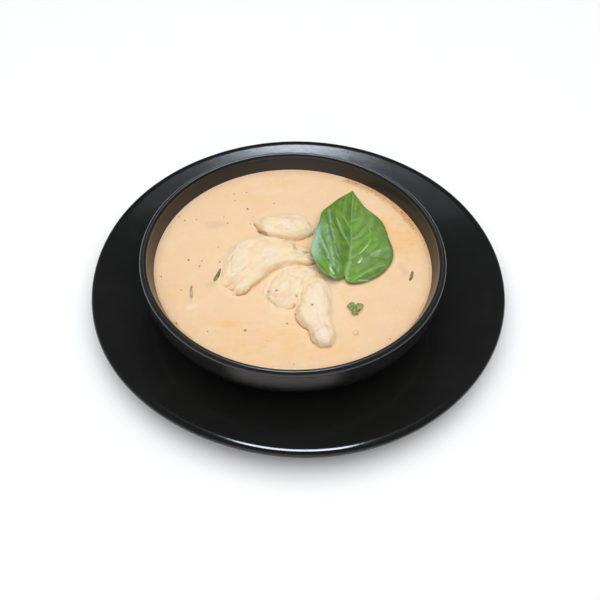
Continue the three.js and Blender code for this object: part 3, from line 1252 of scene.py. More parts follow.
def distances(points: np.ndarray, other: Piece, reach: float) -> np.ndarray:
    """Measures how far points are from another piece.

    Args:
        points: The points, in metres.
        other: The piece.
        reach: The farthest that is measured, in metres.

    Returns:
        The distances, or reach where a point is farther off.
    """
    tree = tree_of(other)
    found = [tree.find_nearest(Vector(point), reach)[3] for point in points]
    return np.array([reach if distance is None else distance for distance in found])


@dataclass
class Chicken:
    """A lump of simmered chicken made of one or more lobes.

    Attributes:
        name: The piece's name.
        node: The solid that it stands for.
        lobes: Rows along each lobe's middle line: x, y, z above the soup, half width and half
            height there, in millimetres.
        turn: The bearing of its fibres, in degrees.
        shore: The bearing that its distinct edge faces. Its other edges fade into the soup.
        edge_brown_and_shade: How much browning and painted shade its distinct edge has.
        shade_low: How much painted orange shade it has just above that edge.
        seed: Moves its noise.
        soft: Where even the distinct edge fades into the soup.
        creases: Its grooves and pits, in painted brown shade. Their strength is how brown they are.
        gleams: Painted highlights where wet edges shine, and painted light on its palest patches.
        voxel: The mesh's grain, in millimetres.
        smooth_rounds: How often that grain is evened out.
        gap: How far it keeps from the pieces beside it, in millimetres.
        lumps: Height and width of its lumps, in millimetres.
        strands: The same of its strands, seen across them.
        fibres: The same of its fibres.
        strand_length: How many times longer than wide the strands and fibres are.
        furrows: Depth, spacing and slimness of the furrows between its strands.
        crease_depth: How deep its creases are, in millimetres.
        edge: Heights over the soup between which its browned edge, in painted shade, fades in.
        band: The same of the painted orange shade above that edge.
        edge_gap: Distances from the next piece between which the same edge fades in.
        band_gap: The same of the shade.
        film: Heights over the soup between which the soup that films it fades in.
        made: Its object, once it is built.
    """

    name: str
    node: str
    lobes: Tuple[Tuple[Row, ...], ...]
    turn: float
    shore: float
    edge_brown_and_shade: float
    shade_low: float
    seed: float
    soft: Tuple[Stroke, ...] = ()
    creases: Tuple[Stroke, ...] = ()
    gleams: Tuple[Stroke, ...] = ()
    voxel: float = 0.55
    smooth_rounds: int = 16
    gap: float = 0.16
    lumps: Pair = (0.75, 7.5)
    strands: Pair = (0.4, 2.6)
    fibres: Pair = (0.16, 0.9)
    strand_length: float = 6.0
    furrows: Point = (0.4, 8.0, 0.07)
    crease_depth: float = 0.5
    edge: Pair = (1.0, 0.3)
    band: Pair = (3.4, 0.4)
    edge_gap: Pair = (0.9, 0.3)
    band_gap: Pair = (2.6, 0.4)
    film: Pair = (3.0, 0.8)
    made: Optional[Piece] = field(default=None, repr=False)

    def build(self, beside: Sequence["Chicken"]) -> None:
        """Builds the lump, giving way to the pieces that are already in place.

        Args:
            beside: Those pieces.
        """
        points, faces = lobe(self.lobes[0])
        for rows in self.lobes[1:]:
            more_points, more_faces = lobe(rows)
            faces = np.vstack([faces, more_faces + len(points)])
            points = np.vstack([points, more_points])
        self.made = remeshed(mesh_object(self.name, in_soup(points), faces), self.voxel)
        points = relaxed(read_points(self.made.data), self.made.data, self.smooth_rounds)
        points = self.weathered(points)
        for other in beside:
            points = pushed_out(points, other.made, self.gap * MM)
        write_points(self.made.data, points)

    def weathered(self, points: np.ndarray) -> np.ndarray:
        """Gives the surface its lumps, its fibres and its folds.

        Args:
            points: The points of its mesh, in metres.

        Returns:
            The moved points.
        """
        write_points(self.made.data, points)
        normals = read_normals(self.made.data)
        places = points / MM
        turn = math.radians(self.turn)
        along = places[:, 0] * math.cos(turn) + places[:, 1] * math.sin(turn)
        across = -places[:, 0] * math.sin(turn) + places[:, 1] * math.cos(turn)
        drawn_out = np.stack([along / self.strand_length, across, places[:, 2]], axis=1)
        depth, spacing, slimness = self.furrows
        lift = -depth * np.exp(-((rough(places, spacing, self.seed + 21) / slimness) ** 2))
        for (height, width), where, shift in (
            (self.lumps, places, 0),
            (self.strands, drawn_out, 3),
            (self.fibres, drawn_out, 9),
        ):
            lift += height * rough(where, width, self.seed + shift)
        lift -= self.crease_depth * marked(from_food(points), self.creases)
        return points + normals * (lift * MM)[:, None]

    def outward(self) -> np.ndarray:
        """The direction that its distinct edge faces."""
        return np.array([math.cos(math.radians(self.shore)), math.sin(math.radians(self.shore))])

    def dress(self, others: Sequence["Chicken"]) -> Piece:
        """Stores its film and its painted shade, low, on its edge and in its creases, and dresses
        it.

        Args:
            others: The other pieces.

        Returns:
            The piece.
        """
        points = read_points(self.made.data)
        facing = read_normals(self.made.data)[:, :2] @ self.outward()
        places = from_food(points)
        above = places[:, 2]
        uneven = 0.5 * rough(points / MM, 2.4, self.seed + 5, 2)
        reach = 6.0
        gap = np.full(len(points), reach)
        for other in others:
            gap = np.minimum(gap, distances(points, other.made, reach * MM) / MM)
        # The distinct edge faces the viewer, and it and the band above it get painted shade.
        distinct = smoothstep(facing, 0.05, 0.5) * (1 - marked(places, self.soft))
        edge = smoothstep(above + 0.5 * uneven, *self.edge)
        edge = np.maximum(edge, smoothstep(gap, *self.edge_gap)) * smoothstep(above, -0.6, 0.1)
        band = smoothstep(above + uneven, *self.band)
        band = np.maximum(band, smoothstep(gap, *self.band_gap))
        # low, shore and crease are painted shade, and gleam a painted highlight.
        stored = {
            "low": band * distinct,
            "film": smoothstep(above + 1.6 * uneven, *self.film) * (1 - distinct),
            "shore": edge * distinct,
            "crease": marked(places, self.creases),
            "gleam": marked(places, self.gleams),
        }
        store(self.made.data, stored)
        finish = CookedMeat(self.name + "_meat", self.turn, self.edge_brown_and_shade, self.shade_low)
        return dressed(self.made, finish.material(), [self.node])


GLEAM = (
    Stroke(((-7.8, -12.1), (-5.5, -11.1), (-2.7, -9.4), (-0.1, -10.7), (3.1, -11.9)), 0.45, 0.8),
    Stroke(((3.1, -11.9), (5.7, -10.7), (7.2, -9.5), (11.9, -8.7)), 0.5, 0.9),
)
CHICKEN_TOP = Chicken(
    "chicken_top_piece",
    "chicken_top",
    (
        (
            (-23, 25.5, -1.2, 3.4, 3.2), (-14.5, 22.4, 0.3, 7.7, 4.9), (-4, 21, 0.7, 8.4, 5.2),
            (5, 20.8, 0.2, 7.1, 4.7), (13.5, 19.8, -1.4, 3.7, 3.6),
        ),
        ((-5, 28.8, -1.6, 3, 3.2), (1.5, 29.2, -1, 3.4, 3.6), (7.5, 26.8, -2, 2.8, 3)),
    ),
    turn=-8,
    shore=-108,
    edge_brown_and_shade=0.9,
    shade_low=0.45,
    seed=11.0,
    creases=(
        Stroke(((-15.2, 28.9), (-8.5, 29.2), (-2.9, 30.2)), 0.5, 0.3),
        Stroke(((-1.6, 22.7), (0.7, 19.3), (4.6, 16.4)), 0.7, 0.12),
        Stroke(((-22.8, 22.6), (-20.4, 19.6), (-17.4, 16.6), (-14.4, 13.8)), 0.75, 0.9),
    ),
)
CHICKEN_LEFT = Chicken(
    "chicken_left_piece",
    "chicken_left",
    (
        (
            (-32.6, -25.6, -2, 5.4, 3.2), (-30, -14, -1, 7.2, 4.6), (-21.5, 2.2, -0.4, 11.4, 5.4),
            (-5, 3.6, -0.2, 8.4, 5.3), (11.5, 1.6, -1.4, 6.4, 4.4),
        ),
        (
            (-29.2, -28, -1.6, 5, 3.2), (-22.7, -18.6, -0.2, 4.8, 4.2),
            (-12.3, -6.3, 0.6, 5.2, 4.4), (3, -1.6, 0.2, 4.6, 4.4), (13.5, -3.5, -1.2, 3.6, 4),
        ),
    ),
    turn=42,
    shore=-62,
    edge_brown_and_shade=0.85,
    shade_low=0.75,
    soft=(Stroke(((-40, -22), (-33, -27.5)), 3.4),),
    seed=23.0,
    creases=(
        Stroke(((-32.3, -21.6), (-30.6, -18.1), (-27.8, -14.6)), 0.7, 0.14),
        Stroke(((0.4, 9.6), (0.5, 5.4), (1.8, 3.4)), 0.9, 0.36),
        Stroke(((5.8, 6.4), (7.0, 2.9), (9.5, 0.9)), 1.1, 0.4),
    ),
)
CHICKEN_CENTRE = Chicken(
    "chicken_centre_piece",
    "chicken_centre",
    (
        (
            (-5.6, -37.6, -1.6, 6.4, 3.4), (-4.2, -29, -0.9, 10, 4.6), (-2.2, -20.5, -0.6, 11.6, 5),
            (3.4, -13.6, -0.8, 8.2, 4.7), (15, -11.6, -1.9, 4.6, 3.8),
        ),
    ),
    turn=76,
    shore=-75,
    edge_brown_and_shade=0.5,
    shade_low=0.25,
    soft=(
        Stroke(((-16, -28), (-9, -36), (-1, -38)), 3.0, 0.75),
        Stroke(((9, -13), (6.4, -19), (4.9, -27)), 2.6),
    ),
    seed=37.0,
    creases=(
        Stroke(((-1.5, -14.9), (1.6, -16.8), (4.7, -17.1)), 0.7, 0.16),
        Stroke(((-0.5, -19), (-0.9, -29)), 0.7, 0.1),
        Stroke(((-12.1, -25.9), (-11.3, -25.7)), 0.7, 0.5),
        Stroke(((-8.0, -26.1), (-7.2, -25.9)), 0.6, 0.5),
        Stroke(((2.6, -28.4), (3.0, -28.2)), 0.5, 0.45),
        Stroke(((1.6, -33.2), (3.6, -32.3), (6.6, -31.5)), 0.7, 0.45),
    ),
    gleams=GLEAM,
)
CHICKEN_TAIL = Chicken(
    "chicken_tail_piece",
    "chicken_tail",
    (
        (
            (14.5, -13, -2, 5.6, 4.2), (13.2, -22, -0.9, 7.6, 5), (11.6, -33, -0.7, 9, 5),
            (12, -40.5, -0.6, 9.2, 5), (14.9, -48.5, -1, 6.8, 4.6),
        ),
        (
            (12.4, -44, -1.6, 4.6, 4), (15.8, -50.4, -0.4, 6.6, 5.2), (16.6, -57.8, -1.4, 5, 4.2),
        ),
        (
            (16, -36, -1.6, 3.6, 3.6), (17.4, -43, -0.8, 3.9, 3.9), (18, -49.5, -1.6, 3.6, 3.6),
        ),
    ),
    turn=-70,
    shore=-125,
    edge_brown_and_shade=1.0,
    shade_low=0.3,
    soft=(Stroke(((9, -13), (6.4, -19), (4.9, -28)), 3.2),),
    seed=51.0,
    creases=(
        Stroke(((11.1, -52.0), (15.0, -48.7), (19.3, -45.8)), 0.6, 0.14),
        Stroke(((6.3, -18.9), (8.4, -20.9), (10.4, -23.1)), 0.7, 0.12),
        Stroke(((10.2, -34.7), (10.6, -34.5)), 0.6, 0.55),
    ),
    gleams=(
        *GLEAM,
        # Painted light on the tail's palest patches.
        Stroke(((13.4, -22.5), (13, -33), (13.4, -42)), 3.4, 0.32),
        Stroke(((15.2, -47), (16.4, -54)), 3.6, 0.42),
    ),
)


# ---- the soup ----


@dataclass
class Broth:
    """The soup up to its level, with what is sunk in it shown on its surface.

    A patch is a row of x, y, half length, half width, the bearing of its length in degrees, and
    its strength. Lengths are millimetres.

    Attributes:
        bowl: The bowl that holds it.
        below_rim: How far its level is below the bowl's rim.
        clearance: Its distance from the bowl's floor.
        sectors: Points round the turn.
        ring_step: How far apart its rings are.
        shore_width: How wide the belt along the wall is where the rings draw closer.
        climb: How high it climbs the wall, and how far from the wall that is felt.
        calm_from: How far from the wall it lies undisturbed.
        swells: Height and width of its swells.
        soft_blend: How gently it runs up a soft edge of the meat.
        distinct_blend: How much less gently it meets a distinct one.
        oil_places: Patches of oil.
        sunk_places: Patches of what shows greyish from below.
        browned_places: Bearing and half length in degrees of each browned film along the wall,
            how far it reaches from it, and its strength.
        froth_and_light_places: Pale patches of foam, and of painted light in the leaf's shadow.
        stains: Browned smears beside the meat.
        gleams: The pale line where the soup's wet edge shines against the meat.
        under_meat_shade: Painted shade where the soup runs under the top piece of meat.
        shine: Bearings between which its edge along the wall starts and stops shining.
        finish: Its material.
    """

    bowl: Bowl
    below_rim: float = 9.5
    clearance: float = 0.36
    sectors: int = 448
    ring_step: float = 0.45
    shore_width: float = 3.0
    climb: Pair = (0.45, 0.9)
    calm_from: float = 2.5
    swells: Tuple[Pair, Pair] = ((0.09, 9.0), (0.045, 2.6))
    soft_blend: float = 1.7
    distinct_blend: float = 1.55
    oil_places: Tuple[Row, ...] = (
        (-32, -44.8, 12.5, 2.6, 0, 0.75), (-24.5, -44.9, 3.2, 1.6, -12, 0.8),
        (55, 18, 16, 20, 60, 0.75), (0, -56, 46, 14, 0, 0.42), (5, 8, 7, 4, 0, 0.8),
        (-30, 48, 16, 8, -20, 0.16), (2.5, 8.5, 9, 4.5, -5, 0.7), (9, 3, 5, 3.5, 30, 0.65),
        (-58, -24, 12, 9, 70, 0.25), (20, -62, 22, 6, 8, 0.2),
    )
    sunk_places: Tuple[Row, ...] = (
        (-43, 23.8, 7.5, 3.4, 6, 0.42), (58.6, -6, 6.5, 2.4, -78, 0.42),
        (-41.5, -19.5, 3.4, 2.6, 10, 0.5), (-50.8, -29, 4.5, 1.6, 95, 0.3),
    )
    browned_places: Tuple[Row, ...] = (
        (42, 26, 4.4, 0.95), (62, 3, 4.2, 1.0), (30, 6, 4.2, 0.9), (12, 14, 2.6, 0.55),
        (-8, 12, 2.2, 0.35), (-38, 24, 1.7, 0.45), (-104, 6, 1.6, 0.3), (-137, 6, 2.0, 0.6),
        (-162, 16, 1.6, 0.5), (172, 18, 1.4, 0.35),
    )
    froth_and_light_places: Tuple[Row, ...] = (
        (-49.6, -34.9, 3.4, 1.9, 30, 0.55), (-0.5, 34.9, 1.3, 0.9, 0, 0.6),
        (-16, 52, 14, 3, 10, 0.16), (22, -15.5, 7, 3.5, -25, 0.7), (22, -26, 3, 8, 0, 0.3),
    )
    stains: Tuple[Stroke, ...] = (
        Stroke(((0.4, 11.4), (0.2, 7.4), (1.4, 5.8)), 0.9, 0.5),
        Stroke(((6.2, 8.0), (7.6, 5.0), (10.4, 3.2)), 1.1, 0.5),
    )
    gleams: Tuple[Stroke, ...] = (
        Stroke(((-5.4, -9.1), (-2.4, -8.2), (2.7, -11.2), (4.7, -10.4)), 0.55, 0.95),
        Stroke(((4.7, -10.4), (7.6, -8.2), (12.2, -8.4)), 0.55, 1.0),
    )
    under_meat_shade: Tuple[Stroke, ...] = (
        Stroke(((-20.6, 20.0), (-19.2, 19.2)), 0.5, 0.25),
        Stroke(((-19.2, 19.2), (-17.4, 17.9), (-15.8, 16.2)), 0.75, 0.95),
        Stroke(((-15.8, 16.2), (-14.1, 14.1), (-11.6, 12.8)), 0.5, 0.6),
    )
    shine: Row = (55.0, 80.0, 190.0, 215.0)
    finish: CoconutBroth = CoconutBroth()

    def rings(self) -> np.ndarray:
        """Spaces the surface's rings.

        Returns:
            Their radii, closer together near the wall.
        """
        shore_rings, crowding, off_wall = 16, 1.5, 0.02
        edge_z = self.bowl.height - self.below_rim + self.climb[0]
        edge = self.bowl.wall_radius(edge_z) - off_wall
        middle = np.arange(self.ring_step, edge - self.shore_width, self.ring_step)
        shore = edge - self.shore_width * np.linspace(1, 0, shore_rings) ** crowding
        return np.r_[middle, shore]

    def surface(self, meat: Sequence[Chicken]) -> Tuple[np.ndarray, Dict[str, np.ndarray]]:
        """The points of the surface and what is stored there.

        Args:
            meat: The pieces that stand in it.

        Returns:
            The points in millimetres from the food's origin, and the stored numbers.
        """
        radii = self.rings()
        flat = self.around(radii, np.zeros(len(radii)))
        from_wall = np.repeat(radii[-1] - radii, self.sectors)
        climb, felt_to = self.climb
        calm = smoothstep(from_wall, 0.0, self.calm_from)
        z = climb * np.exp(-from_wall / felt_to)
        for (height, width), seed in zip(self.swells, (2.0, 5.0)):
            z += calm * height * rough(flat, width, seed)
        fray = rough(flat, 3.2, 29.0, 2)
        veil = np.zeros(len(flat))
        for piece in meat:
            over, distinct = self.meat_under(flat, piece)
            blend = self.soft_blend - self.distinct_blend * distinct
            film = 0.15 - 0.6 * smoothstep(over - 0.8 * fray, 0.3, 2.6)
            film += (-0.5 - film) * distinct
            z = np.maximum(z, z + blend * np.logaddexp(0, (over + film) / blend) * calm)
            veil = np.maximum(veil, (1 - distinct) * smoothstep(over + 1.5 * fray, -5.0, 0.5))
        turn = np.degrees(np.arctan2(flat[:, 1], flat[:, 0])) % 360
        dark, lit, still_lit, dark_again = self.shine
        shining = smoothstep(turn, dark, lit) * smoothstep(turn, dark_again, still_lit)
        stored = {
            "oil": self.patches(flat, self.oil_places),
            "sunk": self.patches(flat, self.sunk_places),
            # Foam, and painted light over the shadow beside the leaf.
            "froth_and_light": self.patches(flat, self.froth_and_light_places),
            "browned": np.maximum(self.film(flat, from_wall), marked(flat, self.stains)),
            "gleam": marked(flat, self.gleams),
            # Painted shade under the top piece of meat.
            "crease_shade": marked(flat, self.under_meat_shade),
            "veil": 0.75 * veil,
            # A painted highlight along the wall's back and left, where the soup's edge shines.
            "shore": 0.6 * shining * smoothstep(from_wall, 0.9, 0.2),
        }
        flat[:, 2] = z
        return flat, stored

    def meat_under(self, flat: np.ndarray, piece: Chicken) -> Tuple[np.ndarray, np.ndarray]:
        """How a piece of meat lies under or beside each point of the surface.

        Args:
            flat: The points, in millimetres from the food's origin.
            piece: The piece.

        Returns:
            The meat's height over the soup, negative beside it, and how much the nearest edge is
            the piece's distinct one, from 0 to 1.
        """
        reach, far_below, fall, above = 6.0, -9.0, 1.5, Vector((0, 0, 0.02))
        over = np.full(len(flat), far_below)
        distinct = np.zeros(len(flat))
        tree = tree_of(piece.made)
        outward = piece.outward()
        corners = from_food(read_points(piece.made.data))[:, :2]
        low, high = corners.min(0) - reach, corners.max(0) + reach
        inside = np.all((flat[:, :2] > low) & (flat[:, :2] < high), axis=1)
        for index in np.flatnonzero(inside):
            place = Vector(in_soup(flat[index]))
            hit, normal, _, _ = tree.ray_cast(place + above, Vector((0, 0, -1)))
            if hit is not None and hit.z > place.z:
                over[index] = (hit.z - place.z) / MM
                away = np.array(normal[:2])
            else:
                nearest, _, _, distance = tree.find_nearest(place, reach * MM)
                if nearest is None:
                    continue
                over[index] = -fall * distance / MM
                away = np.array(place - nearest)[:2]
            distinct[index] = away @ outward / max(np.hypot(*away), 1e-6)
        return over, smoothstep(distinct, -0.1, 0.55) * (1 - marked(flat, piece.soft))

    def around(self, radii: np.ndarray, heights: np.ndarray) -> np.ndarray:
        """Rings in the bowl.

        Args:
            radii: Their radii.
            heights: Their heights above the soup's level.

        Returns:
            Their points, in millimetres from the food's origin.
        """
        angles = np.linspace(0, 2 * np.pi, self.sectors, endpoint=False)
        x = BOWL_STRETCH[0] * (radii[:, None] * np.cos(angles)).ravel()
        y = BOWL_STRETCH[1] * (radii[:, None] * np.sin(angles)).ravel()
        x += BOWL_PLACE[0] - FOOD_ORIGIN[0]
        y += BOWL_PLACE[1] - FOOD_ORIGIN[1]
        return np.stack([x, y, np.repeat(heights, self.sectors)], axis=1)

    def patches(self, flat: np.ndarray, places: Sequence[Row]) -> np.ndarray:
        """How strongly each point lies in one of some soft oval patches.

        Args:
            flat: The points.
            places: The patches.

        Returns:
            A number from 0 to 1 for each point.
        """
        outside, full = 1.25, 0.35
        total = np.zeros(len(flat))
        fray = 0.35 * rough(flat, 3.0, 13.0)
        for x, y, length, width, turn, strength in places:
            angle = math.radians(turn)
            off_x, off_y = flat[:, 0] - x, flat[:, 1] - y
            along = (off_x * math.cos(angle) + off_y * math.sin(angle)) / length
            across = (off_y * math.cos(angle) - off_x * math.sin(angle)) / width
            reach = np.hypot(along, across) + fray
            total = np.maximum(total, strength * smoothstep(reach, outside, full))
        return total

    def film(self, flat: np.ndarray, from_wall: np.ndarray) -> np.ndarray:
        """How strongly each point is browned near the wall.

        Args:
            flat: The points.
            from_wall: How far each one is from the wall.

        Returns:
            A number from 0 to 1 for each point.
        """
        bearing = np.degrees(np.arctan2(flat[:, 1], flat[:, 0]))
        uneven = rough(flat, 4.0, 41.0, 3)
        total = np.zeros(len(flat))
        for at, length, reach, strength in self.browned_places:
            turn = np.abs((bearing - at + 180) % 360 - 180) / length
            near = smoothstep(from_wall + reach * 0.35 * uneven, reach, 0.45 * reach)
            ends = smoothstep(turn + 0.3 * uneven, 1.2, 0.6)
            total = np.maximum(total, strength * near * ends)
        return total

    def build(self, meat: Sequence[Chicken]) -> Piece:
        """Builds and dresses the soup.

        Args:
            meat: The pieces that stand in it.

        Returns:
            The soup.
        """
        wall_rings, under_shore = 14, 0.3
        top, stored = self.surface(meat)
        level = self.bowl.height - self.below_rim
        wall = np.array([(r, z) for r, z in self.bowl.inside() if z < level - under_shore])
        below = wall + (-self.clearance, self.clearance - level)
        below = below[:: max(1, len(below) // wall_rings)]
        points = np.vstack([top, self.around(*below.T), [[0, 0, 0], [0, 0, below[-1, 1]]]])
        rings = len(top) // self.sectors + len(below)
        faces = flipped(closed_faces(rings, self.sectors, (len(points) - 2, len(points) - 1)))
        unmarked = np.zeros(len(points) - len(top))
        stored = {key: np.r_[value, unmarked] for key, value in stored.items()}
        made = mesh_object("coconut_soup", in_soup(points), faces, stored)
        return dressed(made, self.finish.material(), ["soup"])


# ---- leaves ----


LEAF_RIB = (
    Stroke(((27.8, -15.5), (28.3, -9.7), (30.0, -3.4)), 1.15, 0.62),
    Stroke(((30.0, -3.4), (31.2, 8.5)), 0.75, 0.5),
    Stroke(((31.2, 8.5), (31.8, 22.4), (32.7, 37.6), (33.6, 49.5)), 0.36, 0.45),
)
LEAF_VEINS = (
    Stroke(((31.7, 22.3), (29.3, 27.0), (26.2, 33.1)), 0.4, 0.5),
    Stroke(((30.9, 8.1), (28.2, 15.0), (23.3, 28.6)), 0.4, 0.45),
    Stroke(((31.3, 0.2), (37.5, 5.5), (42.0, 13.8)), 0.45, 0.55),
    Stroke(((31.9, 14.2), (35.8, 16.5), (39.5, 23.8)), 0.7, 0.35),
    Stroke(((32.3, 28.2), (36.3, 30.6)), 1.0, 0.4),
    Stroke(((32.4, 38.0), (34.6, 38.4)), 0.5, 0.4),
    Stroke(((30.6, -16.5), (37.2, -10.4), (43.0, -6.4), (48.0, -4.1)), 0.45, 0.55),
    Stroke(((31.8, -4.7), (35.9, -1.8)), 0.4, 0.35),
    Stroke(((42.8, 4.1), (47.9, 6.5), (50.4, 7.8)), 1.2, 0.3),
)
LEAF_RIDGES = (
    Stroke(((21.4, -13.4), (18.7, -1.0), (14.6, 11.3)), 1.1, 0.9),
    Stroke(((22.6, -8.4), (20.4, 4.2), (18.4, 20.4)), 1.1, 0.8),
    Stroke(((24.3, -11.2), (24.0, -0.3), (19.4, 33.7)), 0.8, 0.45),
    Stroke(((14.8, 0.5), (13.2, 8.5), (14.0, 16.0)), 1.6, 0.6),
    Stroke(((37.6, -1.2), (42.8, 4.1), (47.9, 6.5)), 1.3, 0.3),
)
LEAF_VALLEYS = (
    Stroke(((14.2, 5.6), (18.4, -3.0), (22.6, -11.7)), 0.8, 0.8),
    Stroke(((23.4, 8.6), (24.4, -5.3)), 0.9, 0.6),
    Stroke(((22.0, 26.2), (25.0, 19.6), (28.1, 13.3)), 1.1, 0.5),
    Stroke(((21.0, 30.0), (21.8, 20.0), (22.2, 12.0)), 0.9, 0.45),
    Stroke(((33.4, 0.6), (39.4, 7.2), (44.2, 13.0)), 0.9, 0.35),
    Stroke(((33.4, 13.4), (38.0, 16.8), (41.5, 20.5)), 0.9, 0.35),
    Stroke(((36.0, -13.0), (44.0, -8.6), (48.6, -7.0)), 1.0, 0.35),
    Stroke(((38.5, -0.6), (44.0, 1.6), (49.0, 1.0)), 1.6, 0.25),
)
LEAF_GLEAMS = (
    Stroke(((35.0, -2.8), (35.8, -1.7)), 0.5, 1.0),
    Stroke(((35.8, -1.7), (36.8, 0.3)), 0.4, 0.7),
    Stroke(((35.6, 3.6), (40.5, 9.9)), 0.35, 0.35),
    Stroke(((19.8, -10.3), (20.5, -12.0)), 0.4, 0.9),
    Stroke(((20.5, -12.0), (21.3, -13.6)), 0.35, 0.5),
    Stroke(((19.4, -14.0), (21.0, -15.4), (22.6, -15.9)), 0.45, 0.35),
    Stroke(((34.6, -15.2), (37.3, -15.4), (39.8, -15.0)), 0.4, 0.35),
)
LEAF_BRIGHT = (
    Stroke(((33.2, 10.6), (36.8, 12.0), (39.6, 17.0)), 2.0, 0.75),
    Stroke(((40.4, 7.8), (43.5, 10.0), (46.0, 14.4)), 2.0, 0.8),
    Stroke(((33.4, 24.7), (34.8, 21.5)), 1.8, 0.6),
    Stroke(((31.6, -13.8), (34.0, -9.4)), 1.8, 0.8),
    Stroke(((13.8, -6.8), (15.6, -10.4), (17.8, -13.1)), 0.8, 0.7),
    Stroke(((33.9, 10.0), (36.5, 6.0)), 2.4, 0.85),
    Stroke(((40.0, 16.4), (42.2, 19.0)), 2.0, 0.9),
    Stroke(((42.0, 8.6), (46.2, 12.6)), 2.2, 0.95),
    Stroke(((34.6, 24.4), (36.4, 25.2)), 2.0, 0.75),
    Stroke(((31.6, -12.4), (32.6, -8.6)), 2.0, 0.8),
    Stroke(((15.2, -2.6), (16.2, -6.6), (18.6, -10.4)), 1.4, 1.0),
    Stroke(((22.2, -12.6), (23.0, -9.6)), 1.1, 0.7),
)


